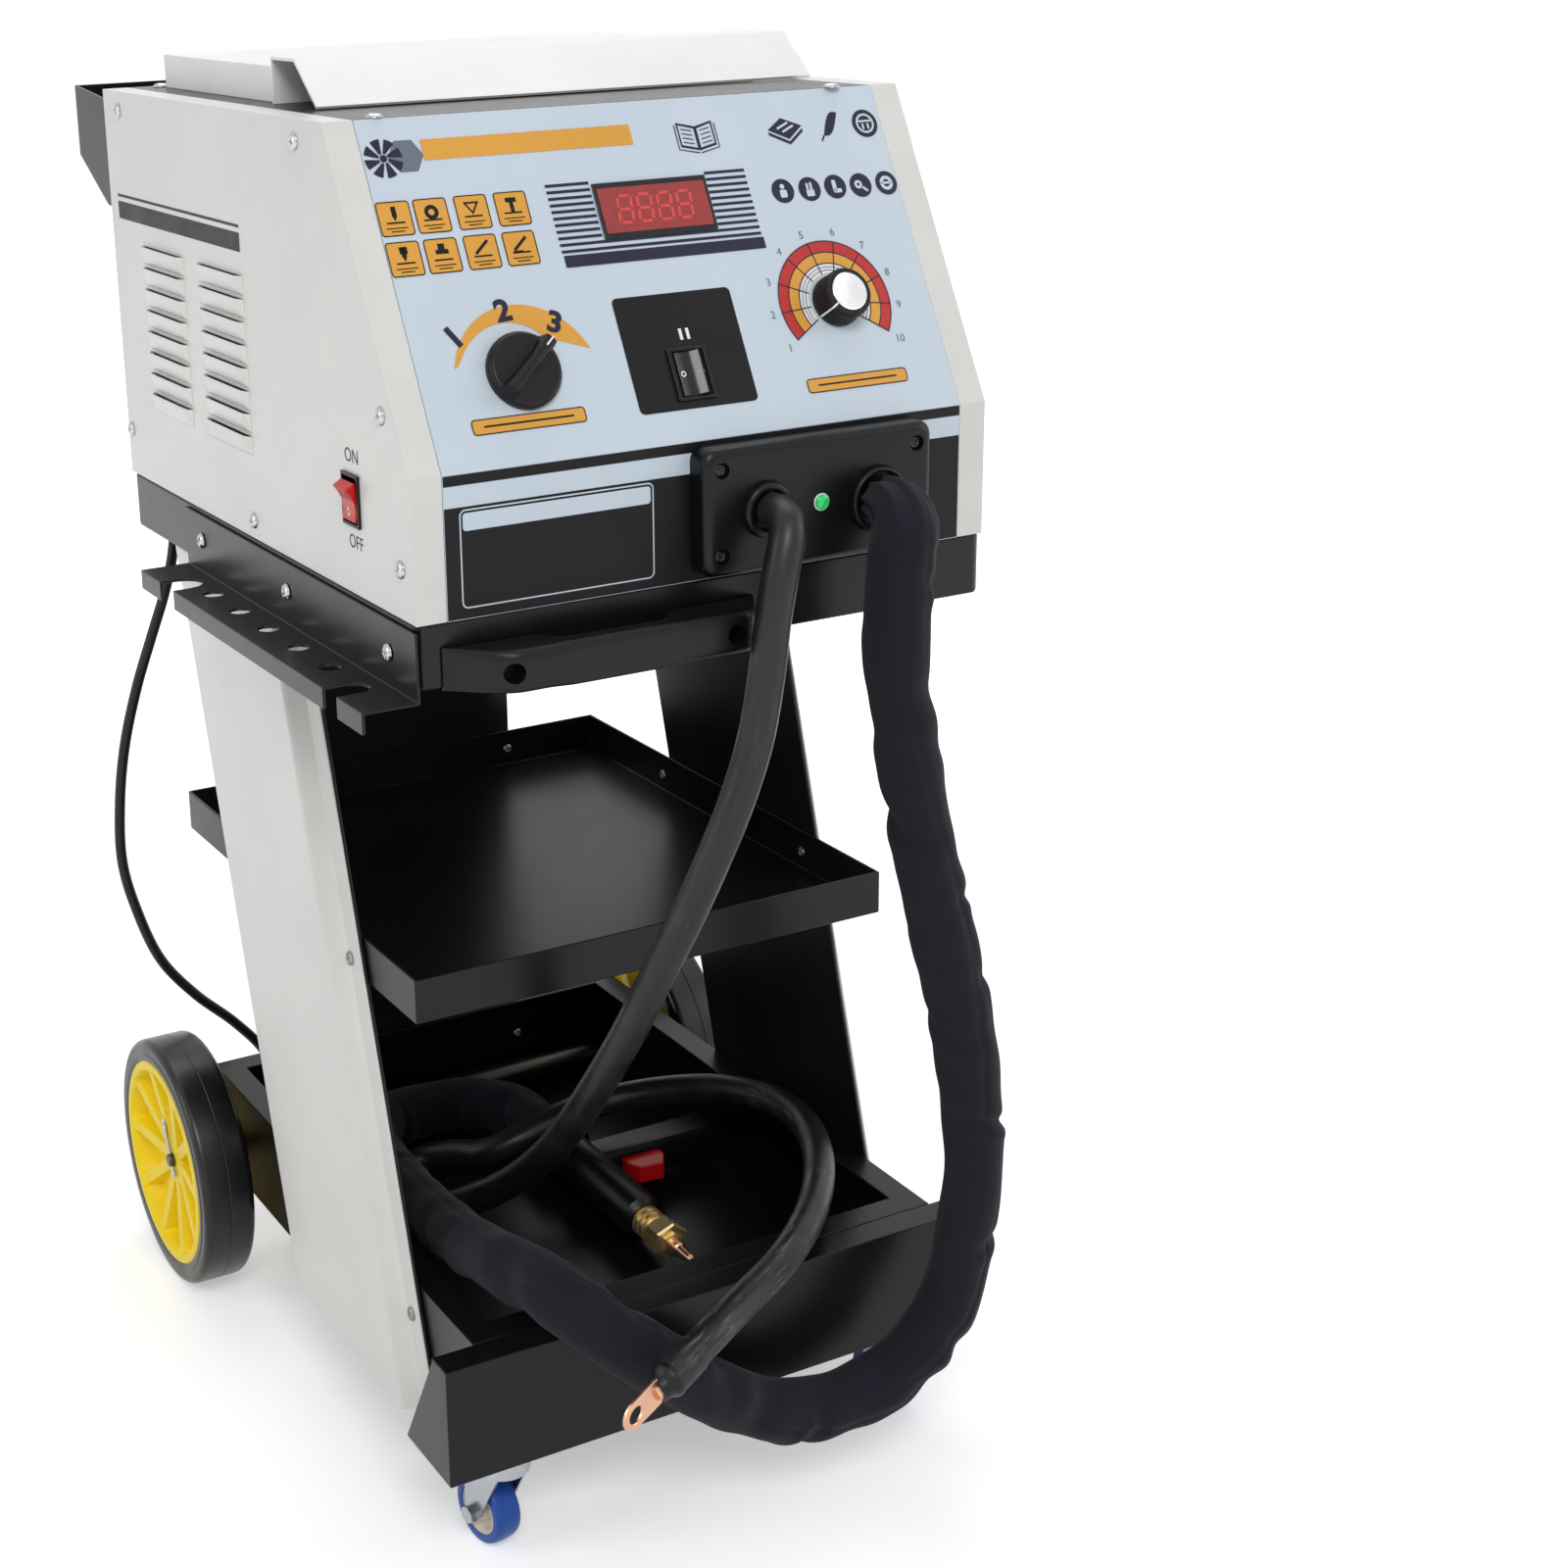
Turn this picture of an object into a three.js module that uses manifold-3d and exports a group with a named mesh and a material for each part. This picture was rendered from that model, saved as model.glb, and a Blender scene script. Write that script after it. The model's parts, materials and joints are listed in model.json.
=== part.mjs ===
// Dent pulling spot welder: a sloped control hood on a wheeled sheet steel cart.
// Millimetres, +Z up, front towards -Y. The origin is on the floor, under the middle of the
// machine's box, without its cables.

import * as THREE from "three";
import { mergeVertices } from "three/addons/utils/BufferGeometryUtils.js";
import Module from "manifold-3d";

const wasm = await Module();
wasm.setup();

// Common values
const sheet = 2;            // folded sheet steel
const clear = 0.3;          // gap between two pieces that touch
const overrun = 5;          // how far a cutter runs past the face it cuts
const bendRadius = 8;       // pressed corners
const weld = 1e-4;          // corners this close are one corner
const roundSides = 24;
const softSides = 20;
const smallSides = 12;
const fineSides = 8;
const hexSides = 6;

// Running gear and the base box between the rear wheels
const wheel = { radius: 100, width: 43.1, standOff: 13.6, axleInset: 19.6, rimRadius: 83.2, rimWall: 15,
  webThickness: 8, webInset: 20, bossRadius: 20, bossInset: 14, pocketCount: 10, pocketInner: 28,
  pocketOuter: 62, pocketDegrees: 23, shoulder: 4 };
const axle = { radius: 10, collarRadius: 15, endInset: 3.3, washerRadius: 16, washerThickness: 2,
  pinRadius: 1.8, pinLength: 58, pinInset: 5, pinDegrees: 52 };

const box = { halfWidth: 182.6, front: -142.5, length: 479.6, axleRise: 18.6, height: 83.9, lip: 20.6 };
box.rear = box.front + box.length;
box.bottom = wheel.radius - box.axleRise;
box.top = box.bottom + box.height;
wheel.outerFace = box.halfWidth + wheel.standOff + wheel.width;
wheel.y = box.rear - wheel.axleInset;

const bumper = { overhang: 30.2, reach: 22.4, drop: 1.9, tab: 20, wedgeTop: 19.9, wedgeBottom: 68.9 };
bumper.halfWidth = box.halfWidth + bumper.overhang;
bumper.front = box.front - bumper.reach;
bumper.bottom = box.bottom - bumper.drop;

const caster = { sideInset: 49.8, setBack: 24.4, plateSize: 44, plateThickness: 2.5, discRadius: 19,
  trail: 18, radius: 25, width: 20, legGap: 1.8, legThickness: 2, legRadius: 8, axleRadius: 4,
  nutRadius: 6.5, nutHeight: 5, crownDrop: 9.3, crownThickness: 3, crownFront: 12, crownRear: 8,
  swivelDegrees: 10, hubRadius: 19, hubInset: 3, edge: 3 };
caster.x = bumper.halfWidth - caster.sideInset;
caster.y = bumper.front + caster.setBack;
caster.plateTop = box.bottom - clear;
caster.discTop = caster.plateTop - caster.plateThickness - clear;
caster.crownTop = caster.discTop - caster.crownDrop;

// Uprights that lean back from the box up to the pan; their y is where an edge would meet the floor
const upright = { leanShare: 0.2945, footFront: -109.9, width: 213, foldInset: 23.9, drop: 5.4, depth: 18.8,
  footWidth: 20, bendWidth: 3 };
const pan = { top: 658.8, depth: 39.4, overhang: 3.8, frontReach: 237.24 };
const tray = { front: -76.2, bottom: 366.9, height: 31.3, rearReach: 55.06 };
upright.bottom = box.bottom - upright.drop;
upright.top = pan.top - sheet - clear;
upright.fold = upright.footFront + upright.foldInset;
upright.rear = upright.footFront + upright.width;
upright.plateFace = box.halfWidth + clear;
upright.webFace = upright.plateFace + upright.depth;
tray.halfWidth = box.halfWidth;
tray.top = tray.bottom + tray.height;
tray.rear = upright.rear + upright.leanShare * upright.top + tray.rearReach;
pan.halfWidth = upright.webFace + pan.overhang;
pan.bottom = pan.top - pan.depth;
pan.front = upright.footFront + upright.leanShare * upright.top - pan.frontReach;
pan.rear = tray.rear + 2 * (sheet + clear);

const back = { halfWidth: 107, webHalf: 76, sweep: 8, footDepth: 22, capDepth: 20 };

const rack = { reach: 38.2, shelfDrop: 44.8, lip: 14, length: 394, frontOverhang: 3.2, plateDrop: 2.8,
  holeRadius: 7, holeOut: 17.5, holeCount: 5, firstHoleShare: 0.764, lastHoleShare: 0.245, slotIn: 10,
  rearSlotWidth: 27, rearSlotShare: 0.8617, frontSlotWidth: 21, frontSlotShare: 0.1231 };
rack.face = -pan.halfWidth - clear;
rack.front = pan.front - rack.frontOverhang;
rack.shelfTop = pan.top - rack.shelfDrop;
rack.plateTop = pan.top - rack.plateDrop;

const handle = { sideInset: 15.5, width: 217, reach: 32.2, barDepth: 14, drop: 13.3, height: 28.5,
  leftGapInset: 55, rightGapInset: 59, flatInset: 40, edge: 3, corner: 4.5 };
const handleFlareShares = [[1, 0], [0.8, 0.13], [0.55, 0.42], [0.3, 0.76], [0, 1]];
handle.left = handle.sideInset - pan.halfWidth;
handle.right = handle.left + handle.width;
handle.front = pan.front - handle.reach;
handle.top = pan.top - handle.drop;
handle.bottom = handle.top - handle.height;

// Hood: a lower face, a slope back from the knee, and a flat top
const hood = { sideInset: 0.5, kneeRise: 88.1, slopeRun: 104.65, slopeRise: 195.6, rearOverhang: 4.3,
  flange: 20 };
hood.halfWidth = pan.halfWidth - hood.sideInset;
hood.base = pan.top + clear;
hood.front = pan.front;
hood.rear = pan.rear + hood.rearOverhang;
hood.kneeTop = hood.base + hood.kneeRise;
hood.slopeTop = hood.front + hood.slopeRun;
hood.top = hood.kneeTop + hood.slopeRise;
hood.slopeLength = Math.hypot(hood.slopeRun, hood.slopeRise);

const louvre = { rearInset: 68.4, columnPitch: 113, columnCount: 2, width: 80, height: 6, firstDrop: 106.8,
  pitch: 15.2, rowCount: 8 };

const lid = { leftInset: 40, rightInset: 15, setBack: 159.15, rearInset: 25.4, rise: 23.2, lipRise: 7,
  lipBack: 38, lipReach: 34, lipFootRise: 2.2, lipSide: 6 };
lid.left = lid.leftInset - hood.halfWidth;
lid.right = hood.halfWidth - lid.rightInset;
lid.front = hood.slopeTop + lid.setBack;
lid.rear = hood.rear - lid.rearInset;
lid.top = hood.top + lid.rise;

const trough = { sideInset: 2, depth: 72.3, rimDrop: 0.8, innerDrop: 7.8, rearFootDrop: 51.8,
  bottomDrop: 84.8, bottomDepth: 12 };
trough.halfWidth = hood.halfWidth - trough.sideInset;
trough.front = hood.rear + clear;
trough.rear = trough.front + trough.depth;

// Front fittings. A place across is a share of the hood's half width, and a place along the slope
// is a share of the slope's length from its top edge.
const terminal = { acrossShare: 0.3244, width: 169, baseRise: 4.4, height: 80.5, depth: 18, corner: 8,
  edge: 3, groundLeft: 40.5, groundRise: 39.5, gunRight: 41.5, gunRise: 35.5, groundRing: 17.5,
  gunRing: 21, groundBore: 14, gunBore: 17, ringProud: 6, neckDepth: 16, studRadius: 8, studDepth: 8 };
terminal.middle = hood.halfWidth * terminal.acrossShare;
terminal.left = terminal.middle - terminal.width / 2;
terminal.right = terminal.middle + terminal.width / 2;
terminal.bottom = hood.base + terminal.baseRise;
terminal.top = terminal.bottom + terminal.height;
terminal.groundX = terminal.middle - terminal.groundLeft;
terminal.groundZ = terminal.bottom + terminal.groundRise;
terminal.gunX = terminal.middle + terminal.gunRight;
terminal.gunZ = terminal.bottom + terminal.gunRise;
terminal.face = hood.front - terminal.depth;
terminal.ringFace = terminal.face - clear - terminal.ringProud;

const lamp = { rise: 38.5, radius: 4.5, proud: 3.5, stemRadius: 3, stemDepth: 12 };
const lampDomeShares = [[0, 1], [0.6, 0.85], [1, 0.3], [1, 0]];

const display = { acrossShare: 0.006, alongShare: 0.3183, width: 77.2, height: 32.4, depth: 14, rim: 2,
  rimHeight: 1.5 };

// Rocker switches: along is the way that they rock
const modeSwitch = { acrossShare: -0.022, alongShare: 0.8092, halfAcross: 17, halfAlong: 13.5, depth: 22,
  endRise: 5.5, midRise: 3.4, tiltDegrees: 10, turnDegrees: -90 };
const mainSwitch = { frontInset: 86.6, rise: 60.2, halfAcross: 12.5, halfAlong: 16.6, depth: 24,
  endRise: 8.4, midRise: 5.2, tiltDegrees: 15 };
const switchShape = { bezelRim: 1.2, bezelHeight: 2, wall: 0.7, sideClear: 0.5, endClear: 1.3, endSlope: 2,
  endLow: 1.5, pivotDepth: 2.2, pinDrop: 3.5, floorDepth: 5.5 };

const selector = { acrossShare: -0.5702, alongShare: 0.746, skirtRadius: 24, skirtHeight: 6, gripWidth: 11,
  gripHeight: 13, gripLength: 46, shaftRadius: 4, shaftDepth: 14, bodySize: 44, bodyDepth: 32,
  pointDegrees: -50 };
const timer = { acrossShare: 0.5483, alongShare: 0.6505, skirtRadius: 17, skirtHeight: 18, capRadius: 12,
  capHeight: 2.5, fluteCount: 16, fluteDepth: 0.9, shaftRadius: 3, shaftDepth: 10, bodyRadius: 12,
  bodyDepth: 15, pointDegrees: 122.5 };
const skirtTopShare = 0.9;

// Inside the hood
const fan = { acrossShare: 0.3415, rise: 105.9, size: 120, depth: 25, rim: 4, hubRadius: 20, hubInset: 2.5,
  bladeCount: 7, bladeChord: 16, bladeThickness: 2, bladeDegrees: 35, tipGap: 4, strutWidth: 4,
  strutDepth: 4, motorRadius: 22, spindleRadius: 3, spindleLength: 10, grilleCount: 9, grilleSlot: 6,
  grillePitch: 11, grilleRadius: 52 };
fan.x = hood.halfWidth * fan.acrossShare;
fan.z = hood.base + fan.rise;
fan.rear = hood.rear - sheet - clear;
fan.front = fan.rear - fan.depth;
fan.boreRadius = fan.size / 2 - fan.rim;
fan.bladeLength = fan.boreRadius - fan.hubRadius - fan.tipGap + fan.bladeThickness;

const core = { halfWidth: 70, rearInset: 100.4, depth: 80, height: 120, legHalf: 20, windowWidth: 28,
  yoke: 24 };
core.rear = hood.rear - core.rearInset;
core.front = core.rear - core.depth;
const windingBulge = 22;

const strap = { width: 30, thickness: 4, groundRise: 4, gunDrop: 4, studLength: 16, crossWidth: 32 };
strap.rear = core.front - windingBulge - clear;
strap.studFront = terminal.face + terminal.neckDepth - terminal.studDepth + clear;
strap.front = strap.studFront + strap.studLength;

const sink = { sideInset: 14, width: 70, rearInset: 130.4, length: 110, height: 60, finCount: 8, finGap: 4,
  base: 12, moduleWidth: 16, moduleInset: 25 };
const board = { alongShare: 0.3651, halfWidth: 70, length: 90, depth: 42, thickness: 2, postRadius: 3,
  postInset: 6, relaySize: 18, relayHeight: 14, relayCount: 3 };
const mainsGland = { sideInset: 55, rise: 30.9, flangeRadius: 12, flangeHeight: 3.5, neckRadius: 7.7,
  neckDepth: 14, domeRadius: 8.5, domeHeight: 8, holeRadius: 8 };
const domeTipShare = 0.75;
mainsGland.x = mainsGland.sideInset - hood.halfWidth;
mainsGland.z = hood.base + mainsGland.rise;
mainsGland.seat = hood.rear + clear;
mainsGland.end = mainsGland.seat + mainsGland.flangeHeight + mainsGland.domeHeight;

// Cables
const mainsCord = { radius: 4.25, sides: 8, steps: 46 };
const groundCord = { radius: 11.5, sides: 8, steps: 64 };
const sleeve = { radius: 22, sides: 8, steps: 60 };
const coil = { x: 20, y: 445, outerRadius: 80, loopCount: 3, loopPitch: 9.4, layerPitch: 9.3, floorGap: 0.35,
  stepsPerLoop: 24, sides: 6, lead: 8.5, tail: 62 };
const climbTurnShare = 0.5;
coil.front = coil.y - coil.outerRadius;
coil.low = mainsCord.radius + coil.floorGap;
coil.high = coil.low + coil.layerPitch;
coil.start = coil.x - coil.lead;

const plug = { radius: 13.3, length: 40, collarRadius: 6, collarLength: 12, pinRadius: 2.4,
  pinLength: 19, pinSpread: 9.5 };
const plugShoulderShare = 0.8;
const lug = { barrelRadius: 7.5, barrelLength: 14, plateLength: 30, plateHalf: 11, thickness: 3,
  holeRadius: 6.5 };
const lugFacingShares = [0.512, -0.831, -0.211];
const lugRootShare = 0.6;
const lugTipShare = 0.7;

const gun = { sideInset: 137.6, rear: 175, length: 148, radius: 18, edge: 4.5, collarRadius: 24,
  collarLength: 16, gripBack: 50, gripHalf: 16, gripReach: 120, gripThick: 14, chuckRadius: 11,
  chuckLength: 30, ribCount: 4, nutRadius: 15.5, nutLength: 22, tipRadius: 7, tipLength: 26,
  tipBoreRadius: 2.2, tipBoreDepth: 14, spigotRadius: 7, spigotDepth: 12 };
const chuckRibShares = [[1, 0.6], [0.8, 0.7], [0.8, 0.9], [1, 1]];
const tipShares = [[1.3, 0], [1.3, 0.25], [0.7, 0.33], [0.6, 1]];
gun.x = box.halfWidth - gun.sideInset;
gun.z = box.bottom + sheet + clear + gun.collarRadius;
gun.front = gun.rear - gun.length;
gun.gripY = gun.rear - gun.gripBack;
gun.gripEnd = gun.x + gun.gripReach;

const trigger = { out: 43, length: 34, half: 7, reach: 22, pocket: 6, seatDepth: 2 };
const triggerShares = [[1, 0.35], [0.75, 1], [0.15, 0.9], [0, 0.4]];
trigger.x = gun.x + trigger.out;

// Middle of the box round all but the cables
const middleX = (wheel.outerFace + rack.face - rack.reach) / 2;
const middleY = (handle.front + trough.rear) / 2;

// Geometry helpers

/** Closed indexed geometry with its faces turned outwards. */
function tidy(geometry) {
  const source = geometry.index ? geometry : geometry.clone();
  source.deleteAttribute("normal");
  source.deleteAttribute("uv");
  const merged = mergeVertices(source, weld);
  const index = [];
  const all = merged.index.array;
  for (let i = 0; i < all.length; i += 3) {
    const [a, b, c] = [all[i], all[i + 1], all[i + 2]];
    if (a !== b && b !== c && a !== c) index.push(a, b, c);
  }
  const p = merged.attributes.position;
  const corner = [new THREE.Vector3(), new THREE.Vector3(), new THREE.Vector3()];
  let volume = 0;
  for (let i = 0; i < index.length; i += 3) {
    corner.forEach((v, k) => v.fromBufferAttribute(p, index[i + k]));
    volume += corner[0].dot(corner[1].clone().cross(corner[2]));
  }
  if (volume < 0) {
    for (let i = 0; i < index.length; i += 3) [index[i], index[i + 1]] = [index[i + 1], index[i]];
  }
  merged.setIndex(index);
  return merged;
}

/** A geometry as a solid that can be joined and cut. */
function solid(geometry) {
  const closed = tidy(geometry);
  const vertProperties = new Float32Array(closed.attributes.position.array);
  const triVerts = new Uint32Array(closed.index.array);
  return new wasm.Manifold(new wasm.Mesh({ numProp: 3, vertProperties, triVerts }));
}

/** A solid back as a geometry. */
function shape(body) {
  const mesh = body.getMesh();
  const geometry = new THREE.BufferGeometry();
  const places = new Float32Array(mesh.vertProperties);
  geometry.setAttribute("position", new THREE.BufferAttribute(places, 3));
  geometry.setIndex([...mesh.triVerts]);
  return geometry;
}

const join = (first, ...rest) => rest.reduce((sum, next) => sum.add(next), first);
const cut = (first, ...rest) => rest.reduce((left, next) => left.subtract(next), first);
const radians = THREE.MathUtils.degToRad;
const vec = (x, y, z) => new THREE.Vector3(x, y, z);
const flat = (points) => points.map(([a, b]) => new THREE.Vector2(a, b));
const mirrored = (side, a, b) => (side < 0 ? [-b, -a] : [a, b]);
const axisFrames = {
  x: new THREE.Matrix4().makeBasis(vec(0, 1, 0), vec(0, 0, 1), vec(1, 0, 0)),
  y: new THREE.Matrix4().makeBasis(vec(0, 0, 1), vec(1, 0, 0), vec(0, 1, 0)),
  z: new THREE.Matrix4(),
};

/** A box between two corners. */
function block(x0, x1, y0, y1, z0, z1) {
  const geometry = new THREE.BoxGeometry(x1 - x0, y1 - y0, z1 - z0);
  geometry.translate((x0 + x1) / 2, (y0 + y1) / 2, (z0 + z1) / 2);
  return solid(geometry);
}

/** An outline pushed along one axis. Its points are (y,z) along x, (z,x) along y, (x,y) along z. */
function prism(axis, points, from, to, holes = []) {
  const outline = new THREE.Shape(flat(points));
  for (const hole of holes) outline.holes.push(new THREE.Path(flat(hole)));
  const geometry = new THREE.ExtrudeGeometry(outline, { depth: to - from, bevelEnabled: false });
  geometry.translate(0, 0, from);
  geometry.applyMatrix4(axisFrames[axis]);
  return solid(geometry);
}

/** A turned piece: profile points are (radius, place along the axis), a and b the centre. */
function turned(axis, profile, a, b, sides) {
  const geometry = new THREE.LatheGeometry(flat(profile), sides);
  geometry.rotateX(Math.PI / 2);
  geometry.applyMatrix4(axisFrames[axis]);
  if (axis === "x") geometry.translate(0, a, b);
  if (axis === "y") geometry.translate(b, 0, a);
  if (axis === "z") geometry.translate(a, b, 0);
  return solid(geometry);
}

/** A plain round bar, with the centre given as in turned. */
function bar(axis, radius, from, to, a, b, sides = smallSides) {
  return turned(axis, [[0, from], [radius, from], [radius, to], [0, to]], a, b, sides);
}

/** The section of a folded sheet: its outer line, and the same line moved in by the thickness. */
function folded(points, thickness) {
  const line = flat(points);
  const normals = line.slice(1).map((p, i) => {
    const along = p.clone().sub(line[i]).normalize();
    return new THREE.Vector2(-along.y, along.x);
  });
  const inner = line.map((p, i) => {
    const before = normals[Math.max(i - 1, 0)];
    const after = normals[Math.min(i, normals.length - 1)];
    const mitre = before.clone().add(after);
    return p.clone().addScaledVector(mitre, (2 * thickness) / mitre.lengthSq());
  });
  return [...line, ...inner.reverse()].map((p) => [p.x, p.y]);
}

/** A rectangle with round corners, as points. */
function roundedBox(x0, x1, y0, y1, radius, steps = 4) {
  const points = [];
  const corners = [[x1 - radius, y1 - radius], [x0 + radius, y1 - radius], [x0 + radius, y0 + radius],
    [x1 - radius, y0 + radius]];
  corners.forEach(([cx, cy], quarter) => {
    for (let i = 0; i <= steps; i += 1) {
      const angle = (Math.PI / 2) * (quarter + i / steps);
      points.push([cx + radius * Math.cos(angle), cy + radius * Math.sin(angle)]);
    }
  });
  return points;
}

/** A circle as points. */
function circle(cx, cy, radius, count = smallSides) {
  return Array.from({ length: count }, (_, i) => {
    const angle = (2 * Math.PI * i) / count;
    return [cx + radius * Math.cos(angle), cy + radius * Math.sin(angle)];
  });
}

function mesh(name, body, colour, roughness, metalness) {
  const geometry = body instanceof THREE.BufferGeometry ? body : shape(body);
  const material = new THREE.MeshStandardMaterial({ color: colour, roughness, metalness });
  const piece = new THREE.Mesh(geometry, material);
  piece.name = name;
  return piece;
}

const steelDark = (name, body) => mesh(name, body, 0x2a2a2d, 0.45, 0.1);
const steelLight = (name, body) => mesh(name, body, 0xd9dad8, 0.4, 0.1);
const plasticBlack = (name, body) => mesh(name, body, 0x2b2b2d, 0.5, 0);
const plasticRed = (name, body) => mesh(name, body, 0xd8261c, 0.4, 0);
const rubberBlack = (name, body) => mesh(name, body, 0x232325, 0.6, 0);
const zinc = (name, body) => mesh(name, body, 0xc4c8cc, 0.3, 0.9);
const copper = (name, body) => mesh(name, body, 0xc8723f, 0.35, 0.9);

const machine = new THREE.Group();
machine.position.set(-middleX, -middleY, 0);

// Base box, open at the top inside its turned-in lip, with holes for the axle
function baseBox() {
  const { halfWidth: w, front, rear, bottom, top, lip } = box;
  const outer = block(-w, w, front, rear, bottom, top);
  const inner = block(sheet - w, w - sheet, front + sheet, rear - sheet, bottom + sheet, top - sheet);
  const mouth = block(lip - w, w - lip, front + lip, rear - lip, top - sheet - clear, top + overrun);
  const bore = bar("x", axle.radius + clear, -w - overrun, w + overrun, wheel.y, wheel.radius);
  return steelDark("base_box", cut(outer, inner, mouth, bore));
}

// Bumper: a hollow front with a top, a tab down the box's front and a wedge at each side
function frontBumper() {
  const { halfWidth: w, front, bottom, tab, wedgeTop, wedgeBottom } = bumper;
  const rear = box.front - clear;
  const line = [[rear, box.top - tab], [rear, box.top], [front, box.top], [front, bottom]];
  const face = prism("x", folded(line, sheet), -w, w);
  const wedge = [[front, bottom], [front + wedgeBottom, bottom], [front + wedgeTop, box.top],
    [front, box.top]];
  return steelDark("front_bumper", join(face, prism("x", wedge, -w, sheet - w),
    prism("x", wedge, w - sheet, w)));
}

const leanShear = new THREE.Matrix4().set(1, 0, 0, 0, 0, 1, upright.leanShare, 0, 0, 0, 1, 0, 0, 0, 0, 1);

/** A flat section pushed up an upright and leant back with it; side is -1 or 1. */
function leaning(points, side) {
  const outline = new THREE.Shape(flat(points.map(([x, y]) => [side * x, y])));
  const depth = upright.top - upright.bottom;
  const geometry = new THREE.ExtrudeGeometry(outline, { depth, bevelEnabled: false });
  geometry.translate(0, 0, upright.bottom);
  geometry.applyMatrix4(leanShear);
  return solid(geometry);
}

function uprightPlate(name, side) {
  const { plateFace: x, footFront, rear } = upright;
  const section = [[x, footFront], [x + sheet, footFront], [x + sheet, rear], [x, rear]];
  return steelDark(name, leaning(section, side));
}

// Cover: a foot along the plate's front edge, a boxed-out web and a return at the rear
function uprightCover(name, side) {
  const { plateFace, webFace, footFront, fold, rear, footWidth, bendWidth } = upright;
  const seat = plateFace + sheet + clear;
  const line = [[seat + sheet, footFront], [seat + sheet, footFront + footWidth],
    [webFace - bendWidth, fold], [webFace, fold + bendWidth], [webFace, rear - bendWidth],
    [webFace - bendWidth, rear], [seat, rear]];
  return steelLight(name, leaning(folded(line, sheet), side));
}

function middleTray() {
  const { halfWidth: w, front, rear, bottom, top } = tray;
  const outer = block(-w, w, front, rear, bottom, top);
  const inner = block(sheet - w, w - sheet, front + sheet, rear - sheet, bottom + sheet, top + overrun);
  return steelDark("middle_tray", cut(outer, inner));
}

// Back panel: swept side strips below the pan, a tongue up inside it and a foot on the box
function backPanel() {
  const { halfWidth: w, webHalf, sweep, footDepth, capDepth } = back;
  const face = tray.rear + clear;
  const foot = box.top + clear;
  const rear = face + sheet;
  const line = [[-w, face + sweep], [-webHalf, face], [webHalf, face], [w, face + sweep]];
  return steelDark("back_panel", join(
    prism("z", folded(line, sheet), foot, pan.bottom - sheet),
    block(-webHalf, webHalf, face, rear, foot, upright.top),
    block(-webHalf, webHalf, rear - capDepth, rear, upright.top - sheet, upright.top),
    block(-webHalf, webHalf, rear - footDepth, rear, foot, foot + sheet)));
}

// Pan: a shelf turned down all round, with pressed corners
function topPan() {
  const { halfWidth: w, front, rear, bottom, top } = pan;
  const outer = prism("z", roundedBox(-w, w, front, rear, bendRadius), bottom, top);
  const hollow = roundedBox(sheet - w, w - sheet, front + sheet, rear - sheet, bendRadius - sheet);
  return steelDark("pan", cut(outer, prism("z", hollow, bottom - overrun, top - sheet)));
}

// Tool rack on the pan's left side: plate, shelf and lip, with holes and two open slots
function toolRack() {
  const { face, front, length, shelfTop, lip, plateTop, holeRadius, holeOut, holeCount } = rack;
  const out = face - rack.reach;
  const rear = front + length;
  const shelfBottom = shelfTop - sheet;
  const body = join(block(face - sheet, face, front, rear, shelfBottom, plateTop),
    block(out, face, front, rear, shelfBottom, shelfTop),
    block(out, out + sheet, front, rear, shelfTop - lip, shelfTop));
  const cutters = [];
  for (let i = 0; i < holeCount; i += 1) {
    const share = THREE.MathUtils.lerp(rack.firstHoleShare, rack.lastHoleShare, i / (holeCount - 1));
    cutters.push(bar("z", holeRadius, shelfBottom - overrun, shelfTop + overrun, face - holeOut,
      front + length * share));
  }
  const slots = [[rack.rearSlotShare, rack.rearSlotWidth], [rack.frontSlotShare, rack.frontSlotWidth]];
  for (const [share, width] of slots) {
    const y = front + length * share;
    const radius = width / 2;
    const bend = face - sheet - rack.slotIn - radius;
    cutters.push(block(out - overrun, bend, y - radius, y + radius, shelfTop - lip - overrun,
      shelfTop + overrun));
    cutters.push(bar("z", radius, shelfBottom - overrun, shelfTop + overrun, bend, y));
  }
  return steelDark("tool_rack", cut(body, ...cutters));
}

// Front handle: two flared feet and a straight bar, open behind for the fingers
function frontHandle() {
  const { left, right, front, barDepth, bottom, height, flatInset, edge, corner } = handle;
  const seat = pan.front - clear;
  const barRear = front + barDepth;
  const gapLeft = left + handle.leftGapInset;
  const gapRight = right - handle.rightGapInset;
  const flare = (end, flatEnd) => handleFlareShares
    .map(([alongShare, outShare]) => [flatEnd + (end - flatEnd) * alongShare,
      seat - (seat - front) * outShare]);
  const points = [...flare(left, left + flatInset), ...flare(right, right - flatInset).reverse(),
    [gapRight, seat], [gapRight - corner, barRear + 2 * corner], [gapRight - 2 * corner, barRear + corner],
    [gapRight - 4 * corner, barRear], [gapLeft + 4 * corner, barRear],
    [gapLeft + 2 * corner, barRear + corner], [gapLeft + corner, barRear + 2 * corner], [gapLeft, seat]];
  const geometry = new THREE.ExtrudeGeometry(new THREE.Shape(flat(points)), { depth: height - 2 * edge,
    bevelSize: edge, bevelThickness: edge, bevelOffset: -edge, bevelSegments: 2 });
  geometry.translate(0, 0, bottom + edge);
  return plasticBlack("front_handle", solid(geometry));
}

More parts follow.
